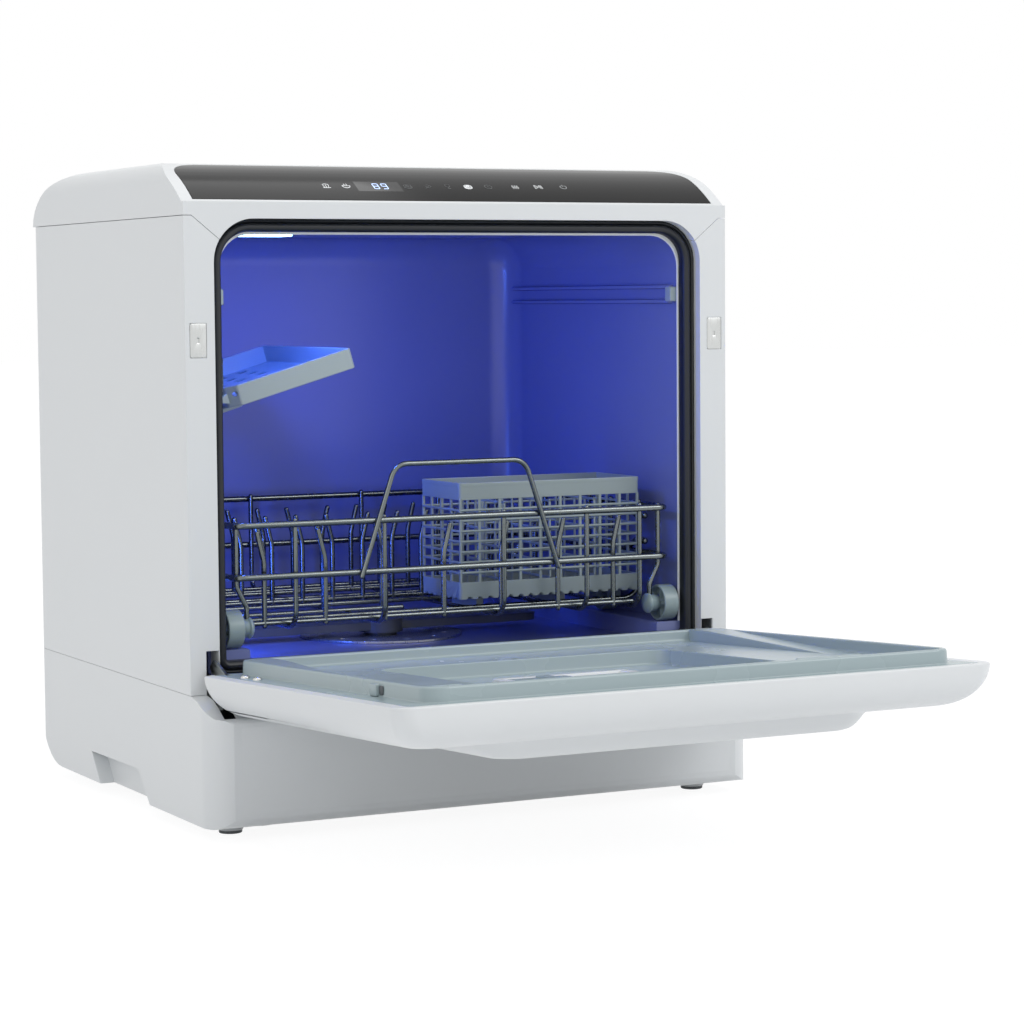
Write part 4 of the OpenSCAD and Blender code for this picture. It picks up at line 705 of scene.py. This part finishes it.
def buildTub():
    t, work, ring = tub, bmesh.new(), tubRing
    halfWidth, floor = t["mouth"][1:3]
    rounded = [ring(side, t["rear"] - t["cove"] + along) for side, along in roundTurn(t["cove"], 0, 90, 8)]
    half, low, high, corner = t["flange"]
    flange = [[inCabinet(x, y, z)
               for x, z in outline(-half + g, half - g, low + g, high - g, corner - g, 3, 10)]
              for g, y in ((0.3, 16), (0, 16.4), (0, 19))]
    front = [ring(0, t["front"] + 4), ring(0.1, t["front"] + 1), ring(-0.5, t["front"] - 0.2),
             ring(-1.4, t["front"] - 0.4), ring(-2.2, t["front"]),
             ring(-2.6, t["front"] + 0.6)]
    outer = [ring(-t["wall"], 19), ring(-t["wall"], t["rear"] - t["cove"])]
    outer += [ring(side - t["wall"], t["rear"] - t["cove"] + along * (t["cove"] + t["wall"]) / t["cove"])
              for side, along in roundTurn(t["cove"], 15, 75, 5)]
    loft(work, rounded[::-1] + front + flange + outer)
    y, radius = t["hole"]
    ledgeIn, ledgeTop = t["ledge"]
    for side in (-1, 1):
        profile = [(ledgeIn, 111.4), (ledgeIn, ledgeTop - 1.8), (ledgeIn + 0.4, ledgeTop - 0.7),
                   (ledgeIn + 1.2, ledgeTop - 0.1), (ledgeIn + 2.4, ledgeTop), (186.6, ledgeTop),
                   (186.6, 111.4)]
        loft(work, [[inCabinet(side * x, along, z) for x, z in profile] for along in (16.2, 298)])
        for z in t["ribs"]:
            wall, tip = halfWidth + 0.6, halfWidth - t["ribOut"]
            section = [(wall, z - 0.2), (tip + 1, z), (tip + 0.2, z + 0.5), (tip, z + 1.5),
                       (tip + 0.2, z + 2.5), (tip + 1, z + 3), (wall, z + 3.2)]
            ends = ((t["ribStart"], 3.4), (t["ribStart"] + 1.5, 0.8), (t["ribStart"] + 4, 0), (298, 0))
            loft(work, [[inCabinet(side * min(x + back, wall), along, zz) for x, zz in section]
                        for along, back in ends])
    loft(work, [[inCabinet(x, along, z) for x, along in inward(g, *t["lampBox"])]
                for g, z in ((0, 418.5), (0, 416.6), (0.4, 416), (1.2, 415.7))])
    piece = makePiece("tubMoulding", work, tubPaintedBlueGlow, "cabinet", "tub")
    hole = bmesh.new()
    turn(hole, [(-6, radius), (6, radius)], inCabinet(0, y, floor), "z", 48)
    carve(piece, hole)
    weigh(piece)


# stops of the rack: a small pale tab between the guide ribs at each side
rackStop = {"y": (19.2, 27.8), "z": (366, 377), "out": 7.4, "corner": 1.2}


def buildStops():
    s, work = rackStop, bmesh.new()
    for side in (-1, 1):
        loft(work, [[inCabinet(side * x, y, z)
                     for y, z in outline(s["y"][0] + g, s["y"][1] - g, s["z"][0] + g, s["z"][1] - g,
                                         s["corner"])]
                    for g, x in ((0, 186.3), (0, 186 - s["out"] + 1), (0.3, 186 - s["out"] + 0.3),
                                 (1, 186 - s["out"]))])
    makePiece("rackStopTabs", work, linerGrey, "cabinet", "rack_stops")


# door, in its own frame: x across, u out from the hinge pins, h above them
door = {"hingeUp": 101.5, "hingeOut": 15, "tilt": 3, "half": 215, "u": (1.5, 326.5), "rim": 12, "thick": 28,
        "curve": 26, "corner": 13, "plateauHalf": 143, "plateauU": (60, 295), "plateauDrop": 12.5,
        "groove": (195.7, 203.7, -2, 94),
        "plateau": ((-5, -6, -2.5, 0), (-2.5, -3, -1.5, 0.03), (-0.6, -0.8, -0.5, 0.11),
                    (1.2, 1.8, 0.5, 0.25), (3, 4.6, 1.4, 0.42), (5.4, 8.6, 2.5, 0.62), (8, 13.5, 3.8, 0.8),
                    (10.8, 19, 5.2, 0.92), (14, 26, 7, 0.985),
                    (18, 32, 9.5, 1))}


def onDoor(x, u, h):
    c, s = math.cos(math.radians(door["tilt"])), math.sin(math.radians(door["tilt"]))
    return inCabinet(x, -door["hingeOut"] - u * c + h * s, door["hingeUp"] + u * s + h * c)


def doorRing(h, points):
    return [onDoor(x, u, h) for x, u in points]


def carveDoor(piece, *slabs):
    work = bmesh.new()
    for low, high in slabs:
        slab(work, low, high, onDoor)
    carve(piece, work)


def bothSides(x0, x1, u0, u1, h0, h1):
    return [((min(side * x0, side * x1), u0, h0), (max(side * x0, side * x1), u1, h1)) for side in (-1, 1)]


def buildDoorShell():
    d, work = door, bmesh.new()
    u0, u1 = d["u"]

    def ring(g, h):
        return doorRing(h, outline(-d["half"] + g, d["half"] - g, u0 + g, u1 - g, d["corner"], steps=10))

    def inside(x, low, high, h, corner):
        return doorRing(h, outline(-x, x, low, high, corner, steps=10))

    rings = [inside(186, 24, 299, -13.4, 8), inside(188, 22, 301, -12.4, 9),
             inside(188.5, 21.5, 301.5, 10.4, 9), inside(205.1, 2.4, 320.6, 10.4, 3),
             inside(205.1, 2.2, 320.6, 11.7, 3), inside(205.5, 2.1, 321, 12, 3.4),
             ring(1.1, 12), ring(0.5, 11.85), ring(0.15, 11.4), ring(0, 10.6)]
    for step in range(1, 13):
        angle = math.radians(4 + 84.5 * step / 12)
        rings.append(ring(d["curve"] * (1 - math.cos(angle)), d["rim"] - d["thick"] * math.sin(angle)))
    face = d["rim"] - d["thick"]
    rings.append(ring(d["curve"] + 1.5, face))
    low, high = d["plateauU"]
    for x, lowIn, highIn, drop in d["plateau"]:
        rings.append(doorRing(face - d["plateauDrop"] * drop, outline(
            -d["plateauHalf"] + x, d["plateauHalf"] - x, low + lowIn, high - highIn, 24 - x * 0.4, steps=10)))
    loft(work, rings)
    piece = makePiece("doorPanel", work, shellWhite, "door", "door_shell", sharp=50)
    x0, x1, g0, g1 = d["groove"]
    carveDoor(piece, *bothSides(x0, x1, g0, g1, -12, 13))
    weigh(piece)


# door liner: flange, rounded rim wall, runways, recess with the seat of the detergent cup
liner = {"flange": (204.8, 1.7, 320), "edge": 190, "u": (9, 315), "corner": 14, "top": 22,
         "recess": (112, 66, 280), "runIn": 166, "runEnd": 200, "runHigh": 24.13,
         "runU": (14, 41, 70, 120, 170), "cupSeat": (-54, 34, 146, 204),
         "armCuts": ((195.8, 215.5, 8), (195.7, 199.1, 16)),
         "rim": ((-1.8, 12.05), (-0.7, 12.3), (-0.1, 13.1), (0.25, 20), (0.5, 21.1), (1.0, 21.75), (1.8, 22),
                 (3.4, 22), (4.2, 21.75), (4.7, 21.1), (4.9, 20.2), (5.2, 15.6), (5.8, 14.3), (7.2, 13.6)),
         "pan": ((-1.4, 13.6), (-0.5, 13.4), (0, 12.7), (0.9, 4.6), (1.6, 3.5), (3, 3))}


def buildLiner():
    l, work = liner, bmesh.new()
    u0, u1 = l["u"]

    def wall(g, h):
        return doorRing(h, outline(-l["edge"] + g, l["edge"] - g, u0 + g, u1 - g, l["corner"] - min(g, 10),
                                   steps=10))

    def pan(g, h):
        half, low, high = l["recess"]
        return doorRing(h, inward(g, -half, half, low, high, 13, steps=10))

    half, low, high = l["flange"]
    rings = [pan(-3, 1), pan(-3, 10.4)]
    rings += [doorRing(h, inward(g, -half, half, low, high, 2.4, steps=10))
              for g, h in ((0, 10.4), (0, 11.7), (0.3, 12.05))]
    rings += [wall(g, h) for g, h in l["rim"]]
    rings += [pan(g, h) for g, h in l["pan"]]
    loft(work, rings)
    slope = math.tan(math.radians(door["tilt"]))
    for side in (-1, 1):
        sections = []
        for u in (*l["runU"], l["runEnd"] - 0.5, l["runEnd"]):
            top = min(l["top"], l["runHigh"] - u * slope)
            drop = 0.5 if u == l["runEnd"] else 0
            sections.append([onDoor(side * x, u, h) for x, h in (
                (l["runIn"], 13), (l["runIn"], max(top - 1.4, 13.1)), (l["runIn"] + 0.4,
                                                                       max(top - 0.4, 13.2)),
                (l["runIn"] + 1.3, max(top - drop, 13.3)), (185.6, max(top - drop, 13.3)), (185.6, 13))])
        loft(work, sections)
        # shallow ribs that stiffen the floor beside the recess
        for u in (226, 262):
            loft(work, [[onDoor(side * x, u + y, h) for x, y in inward(g, 124, 176, -3, 3, 3, steps=4)]
                        for g, h in ((-0.6, 13.3), (0, 13.9), (0.4, 14.5), (1.2, 14.8))])
    piece = makePiece("doorLiner", work, linerGrey, "door", "door_liner", sharp=50)
    x0, x1, s0, s1 = l["cupSeat"]
    carveDoor(piece, ((x0, s0, -6), (x1, s1, 8)))
    # space for the hinge arms and the brackets' ears, the narrow cut reaching further out
    for near, far, end in l["armCuts"]:
        carveDoor(piece, *bothSides(near, far, -1, end, -20, 32))
    weigh(piece)


# catch tabs on the liner's sides, each with a darker grey sheet beside it as painted shade for its pocket
catchTab = {"u": (235, 252), "edge": 190, "out": 2.4, "low": 12, "high": 20}


def buildCatchTabs():
    c, work, pocketShade = catchTab, bmesh.new(), bmesh.new()
    for side in (-1, 1):
        def sheet(target, u0, u1, low, high, steps):
            loft(target, [[onDoor(side * (c["edge"] + x), u, h) for u, h in inward(g, u0, u1, low, high, 1.5)]
                          for g, x in steps])
        sheet(work, c["u"][0], c["u"][1] - 6, c["low"] + 0.2, c["high"],
              ((0, -0.8), (0, c["out"] - 0.7), (0.3, c["out"] - 0.2), (0.9, c["out"])))
        # the pocket is not cut: a thin dark grey sheet stands in for its shade
        sheet(pocketShade, c["u"][1] - 5.6, c["u"][1], c["low"] + 1.2, c["high"] - 1,
              ((0, -0.8), (0, 0.5), (0.3, 0.7)))
    makePiece("catchTabFaces", work, linerGrey, "door", "catch_tabs")
    makePiece("catchTabPocketShade", pocketShade, workGrey, "door")


# cup shelf in its own frame: a out from the pivot wire, b along it, c up, sloped as it rests on the posts
shelf = {"pivotX": -173.5, "slope": 16, "a": (12, 112), "b": (38, 203), "low": -10, "high": 5, "wall": 2,
         "corner": 3, "chamfer": 9, "clipB": (42, 76, 112, 150, 188), "clipWide": 7, "clipOut": 5,
         "clipIn": 1.96, "clipGap": 1.5, "lugB": (62, 135), "lugA": (2.7, 27)}


def onShelf(a, b, c):
    turned = math.radians(shelf["slope"])
    return onRack(shelf["pivotX"] + a * math.cos(turned) - c * math.sin(turned), b,
                  rack["shelfUp"] + a * math.sin(turned) + c * math.cos(turned))


def trayRing(inset, c):
    s = shelf
    (a0, a1), (b0, b1) = s["a"], s["b"]
    ring = outline(a0 + inset, a1 - inset, b0 + inset, b1 - inset, max(s["corner"] - inset, 0.3), steps=5)
    # the last corner's arc is spread along the chamfer
    cut = s["chamfer"] - inset * 0.4
    ring[-6:] = [(a0 + inset + cut * i / 5, b0 + inset + cut * (1 - i / 5)) for i in range(6)]
    return [onShelf(a, b, c) for a, b in ring]


def buildShelf():
    s, work = shelf, bmesh.new()
    loft(work, [trayRing(g, c)
                for g, c in ((1.2, s["low"]), (0.4, s["low"] + 0.25), (0, s["low"] + 1), (0, s["high"] - 0.6),
                             (0.3, s["high"] - 0.1),
                             (0.8, s["high"]), (1.4, s["high"]), (1.9, s["high"] - 0.15),
                             (2.1, s["high"] - 0.7),
                             (2.1, s["low"] + 3.2), (2.6, s["low"] + 2.4),
                             (3.6, s["low"] + 2))])
    piece = makePiece("cupShelfTray", work, shelfGrey, "cup_shelf", sharp=40)
    holes = bmesh.new()
    for a in range(26, 94, 18):
        for b in range(46, 188, 20):
            loft(holes, [[onShelf(x, y, c) for x, y in outline(a, a + 9, b, b + 12, 2, steps=3)]
                         for c in (-13, -5)])
    for b in s["lugB"]:
        slab(holes, (11, b - 4.5, -13), (23, b + 4.5, 16), onShelf)
    turn(holes, [(-6, 1.7), (6, 1.7)], onShelf(18, 43, -1), "y", 14)
    carve(piece, holes)
    weigh(piece)
    work = bmesh.new()
    for b in s["clipB"]:
        start = math.degrees(math.asin(s["clipGap"] / s["clipOut"]))
        rings = []
        for i in range(33):
            angle = math.radians(-90 + start + (360 - 2 * start) * i / 32)
            ca, sa = math.cos(angle), math.sin(angle)
            rings.append([onShelf(r * ca, b + y, r * sa) for r, y in (
                (s["clipIn"], 0.3), (s["clipIn"] + 0.3, 0), (s["clipOut"] - 0.5, 0), (s["clipOut"], 0.5),
                (s["clipOut"], s["clipWide"] - 0.5), (s["clipOut"] - 0.5, s["clipWide"]),
                (s["clipIn"] + 0.3, s["clipWide"]), (s["clipIn"], s["clipWide"] - 0.3))])
        loft(work, rings)
        loft(work, [[onShelf(a, b + y, c)
                     for y, c in outline(0.6, s["clipWide"] - 0.6, low, high, 0.6, steps=3)]
                    for a, low, high in ((3.2, -4.2, -1.2), (7, -4.8, -0.6), (12.8, -6.5, 0.8))])
    for b in s["lugB"]:
        loft(work, [[onShelf(a, y, c) for a, y in inward(g, *s["lugA"], b - 8, b + 8, 3, steps=4)]
                    for g, c in ((0.6, -13), (0.1, -12.7), (0, -12.3), (0, -10.5), (0.3, -10.05),
                                 (0.8, -9.9))])
    makePiece("cupShelfClips", work, shelfGrey, "cup_shelf", "cup_shelf")


# cutlery basket: two bands, slats and hoops between them, dividers, a drained floor and its runners
basket = {"origin": (14, 28, 7), "size": (152, 66, 86), "lowBand": 12.6, "highBand": 73.4, "lip": 2.8,
          "slats": (9, 4), "slat": 2.3, "hoops": 8, "hoopFirst": 19.65, "hoopPitch": 7.7, "hoop": 0.98,
          "hoopNear": 0.95, "notch": 2.5, "notchPitch": 8.44,
          "dividers": (38, 76, 114), "dividerTop": 71, "runners": (24, 93), "runnerLow": -8.2}


def inBasket(x, y, z):
    ox, oy, oz = basket["origin"]
    return onRack(ox + x, oy + y, oz + z)


def buildBasket():
    b, work = basket, bmesh.new()
    w, d, h = b["size"]

    def ring(g, z, corner=2.6):
        return [inBasket(x, y, z) for x, y in outline(g, w - g, g, d - g, max(corner - g, 0.3), steps=5)]

    low, high, lip = b["lowBand"], b["highBand"], b["lip"]
    loft(work, [ring(0.8, 0), ring(0.35, 0.15), ring(0.35, low - 0.3), ring(0.7, low), ring(1.9, low),
                ring(2.2, low - 0.3), ring(2.2, 2.2), ring(2.8, 2)])
    loft(work, [ring(0.7, high), ring(0.35, high + 0.3), ring(0.35, h - lip - 0.5), ring(0.05, h - lip),
                ring(0, h - 0.6), ring(0.3, h - 0.1), ring(0.7, h), ring(1.7, h), ring(2.1, h - 0.1),
                ring(2.3, h - 0.6), ring(2.2, high + 0.3), ring(1.9, high)], loop=True)
    piece = makePiece("basketBands", work, basketGrey, "cutlery_basket", sharp=40)
    holes = bmesh.new()
    count = round(w / b["notchPitch"])
    for i in range(1, count):
        turn(holes, [(-2, b["notch"]), (d + 2, b["notch"])], inBasket(i * w / count, 0, -0.4), "y", 14)
    side = round(d / b["notchPitch"])
    for i in range(1, side):
        turn(holes, [(-2, b["notch"]), (w + 2, b["notch"])], inBasket(0, i * d / side, -0.4), "x", 14)
    carve(piece, holes)
    weigh(piece)
    work = bmesh.new()

    def bar(low, high):
        slab(work, low, high, inBasket)

    across, along = b["slats"]
    half = b["slat"] / 2
    for i in range(1, across):
        for y in (0.5, d - 2.1):
            bar((i * w / across - half, y, low - 0.5), (i * w / across + half, y + 1.6, high + 0.5))
    for i in range(1, along):
        for x in (0.5, w - 2.1):
            bar((x, i * d / along - half, low - 0.5), (x + 1.6, i * d / along + half, high + 0.5))
    for x in (0.5, w - 2.4):
        for y in (0.5, d - 2.4):
            bar((x, y, low - 0.5), (x + 1.9, y + 1.9, high + 0.5))
    for x in b["dividers"]:
        for y in (1.4, d / 4, d / 2, d * 3 / 4, d - 2.8):
            bar((x - 0.8, y, 1.5), (x + 0.8, y + 1.5, b["dividerTop"]))
        for z in (12, 24, 36, 48, 60, b["dividerTop"] - 1.6):
            bar((x - 0.7, 1.4, z), (x + 0.7, d - 1.4, z + 1.8))
    for x in b["runners"]:
        bar((x - 3, 16, b["runnerLow"]), (x + 3, d - 8, 1))
    slats = makePiece("basketSlats", work, basketGrey, "cutlery_basket", "cutlery_basket")
    softenEdges(slats, 0.3 * mm, 1)
    hoops = []
    for i in range(b["hoops"] - 1):
        z = b["hoopFirst"] + b["hoopPitch"] * i
        near = b["hoopNear"]
        path = [inBasket(x, y, z)
                for x, y in ((w / 2, near), (near, near), (near, d - near), (w - near, d - near),
                             (w - near, near), (w / 2 - 0.5, near))]
        hoops.append((path, b["hoop"] * mm, 1.6 * mm))
    layWires("basketHoops", hoops, basketGrey, "cutlery_basket", sides=8, bendSteps=3)


# bright lip round the tub's mouth, just behind the gasket
tubLip = [(0, 16.3), (2.6, 16.3), (3.1, 16.7), (3.2, 17.3), (2.9, 17.9), (2.2, 18.2), (0, 18.2)]


def buildTubLip():
    work = bmesh.new()
    loft(work, [tubRing(inset, y) for inset, y in tubLip], loop=True)
    makePiece("tubMouthLip", work, frameWhite, "cabinet", "tub")


# feet: a white cup with a thin dark pad under it
foot = {"x": 186, "y": (3, 286), "cup": [(2.2, 7.4), (2.3, 8.5), (2.7, 8.9), (3.3, 9.0), (6.0, 9.0)],
        "pad": [(0, 7.3), (0.1, 7.8), (0.5, 8.2), (2.3, 8.2)]}


def buildFeet():
    for part, name, finish in (("cup", "footCups", shellWhite), ("pad", "footPads", footRubber)):
        work = bmesh.new()
        for side in (-1, 1):
            for y in foot["y"]:
                turn(work, foot[part], inCabinet(side * foot["x"], y, 0), "z", 32)
        makePiece(name, work, finish, "cabinet", "feet")


# domed heads of the screws that hold the hinge arms, each with a cross recess
screwHead = {"x": 198, "u": (45, 67),
             "dome": [(0, 3.4), (0.5, 3.4), (1.1, 3.1), (1.6, 2.4), (1.9, 1.4), (2, 0.4)],
             "arm": 1.9, "slot": 0.4, "depth": 1.0}


def buildScrewHeads():
    d, work, cross = screwHead, bmesh.new(), bmesh.new()
    a, w = d["arm"], d["slot"]
    star = [(w, w), (w, a), (-w, a), (-w, w), (-a, w), (-a, -w), (-w, -w), (-w, -a), (w, -a), (w, -w),
            (a, -w), (a, w)]
    for x in (-d["x"], d["x"]):
        for u in d["u"]:
            loft(work, [[onDoor(x + r * math.cos(math.tau * i / 24), u + r * math.sin(math.tau * i / 24),
                                door["rim"] + h)
                         for i in range(24)] for h, r in d["dome"]])
            loft(cross, [[onDoor(x + px, u + pu, door["rim"] + h) for px, pu in star]
                         for h in (d["depth"], 3)])
    piece = makePiece("doorScrewHeads", work, screwSteel, "door", "door_screws", sharp=50)
    carve(piece, cross)


buildTub()
buildTubLip()
buildFeet()
buildScrewHeads()
buildStops()
buildDoorShell()
buildLiner()
buildCatchTabs()
buildShelf()
buildBasket()
print("tub, door, shelf and basket built")


# stage, lamps and camera

stage = {"floorSize": 30.0, "floorTint": linear(246, 247, 248), "floorGlow": 0.82, "floorLift": 1.12,
         "ambient": 0.62}


def seenDirectly(tree):
    # 1 for what the camera sees, also in reflections and through glass
    path = addNode(tree, "ShaderNodeLightPath").outputs
    seen = addNode(tree, "ShaderNodeMath", {0: path["Is Camera Ray"], 1: path["Is Glossy Ray"]},
                   operation="MAXIMUM")
    return addNode(tree, "ShaderNodeMath", {0: seen.outputs[0], 1: path["Is Transmission Ray"]},
                   operation="MAXIMUM")


def buildStage():
    half = stage["floorSize"] / 2
    mesh = bpy.data.meshes.new("studioFloor")
    mesh.from_pydata([(-half, -half, 0), (half, -half, 0), (half, half, 0), (-half, half, 0)], [],
                     [(0, 1, 2, 3)])
    floor = bpy.data.objects.new("studioFloor", mesh)
    bpy.context.scene.collection.objects.link(floor)
    material = bpy.data.materials.new("paleFloor")
    material.use_nodes = True
    tree = material.node_tree
    tree.nodes.clear()
    seen = seenDirectly(tree)
    share = addNode(tree, "ShaderNodeMath", {0: seen.outputs[0], 1: stage["floorGlow"]}, operation="MULTIPLY")
    matt = addNode(tree, "ShaderNodeBsdfDiffuse", {"Color": stage["floorTint"]})
    glow = addNode(tree, "ShaderNodeEmission", {"Color": (1, 1, 1, 1), "Strength": stage["floorLift"]})
    mix = addNode(tree, "ShaderNodeMixShader", {0: share.outputs[0], 1: matt.outputs[0], 2: glow.outputs[0]})
    addNode(tree, "ShaderNodeOutputMaterial", {"Surface": mix.outputs[0]})
    mesh.materials.append(material)


def buildWorld():
    world = bpy.data.worlds.new("studio")
    bpy.context.scene.world = world
    world.use_nodes = True
    tree = world.node_tree
    tree.nodes.clear()
    seen = seenDirectly(tree)
    level = addNode(tree, "ShaderNodeMapRange", {0: seen.outputs[0], 3: stage["ambient"], 4: 1.0})
    sky = addNode(tree, "ShaderNodeBackground", {"Color": (1, 1, 1, 1), "Strength": level.outputs[0]})
    addNode(tree, "ShaderNodeOutputWorld", {"Surface": sky.outputs[0]})


def hangLamp(name, place, target, size, power, colour=(1, 1, 1)):
    light = bpy.data.lights.new(name, "AREA")
    light.shape = "RECTANGLE"
    light.size, light.size_y = size
    light.energy = power
    light.color = colour
    lamp = bpy.data.objects.new(name, light)
    bpy.context.scene.collection.objects.link(lamp)
    lamp.location = place
    lamp.rotation_mode = "QUATERNION"
    lamp.rotation_quaternion = (Vector(target) - Vector(place)).to_track_quat("-Z", "Y")
    lamp.visible_camera = False


studioLamps = {
    "keySoft": ((1.6, -2.2, 2.0), (0, 0, 0.25), (1.6, 1.2), 26),
    "fillSoft": ((-2.4, -1.2, 1.4), (0, 0, 0.2), (1.4, 1.4), 6),
    "topSoft": ((0, 0.4, 2.4), (0, 0, 0.3), (1.8, 1.8), 12),
}
for name, (place, target, size, power) in studioLamps.items():
    hangLamp(name, place, target, size, power)

lampLow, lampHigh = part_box("cavity_lamp")
blueLight = (0.06, 0.16, 1.0)
cavityLamps = {
    "cavityFront": ((lampHigh.x, lampHigh.y + 0.02, lampLow.z - 0.006), (0.05, 0.2, 0.2), (0.05, 0.03), 0.42),
    "cavityLeft": ((-0.172, frontY + 0.09, 0.19), (0.0, 0.22, 0.13), (0.02, 0.09), 0.3),
}
for name, (place, target, size, power) in cavityLamps.items():
    hangLamp(name, place, target, size, power, blueLight)

shot = {"place": (-0.92397, -1.87977, 0.36936), "yaw": 0.4715, "pitch": 0.0731, "roll": 0.0080,
        "focus": 2921.3}


def buildCamera():
    forward = Vector((math.sin(shot["yaw"]) * math.cos(shot["pitch"]),
                      math.cos(shot["yaw"]) * math.cos(shot["pitch"]),
                      -math.sin(shot["pitch"])))
    data = bpy.data.cameras.new("photoCamera")
    data.sensor_width = 36
    data.lens = shot["focus"] / 1024 * 36
    camera = bpy.data.objects.new("photoCamera", data)
    bpy.context.scene.collection.objects.link(camera)
    camera.rotation_mode = "QUATERNION"
    camera.rotation_quaternion = forward.to_track_quat("-Z", "Y") @ Quaternion((0, 0, 1), -shot["roll"])
    camera.location = Vector(shot["place"]) + Vector((0, frontY, 0))
    bpy.context.scene.camera = camera


buildStage()
buildWorld()
buildCamera()
bpy.context.scene.view_settings.view_transform = "Standard"
print("stage set")
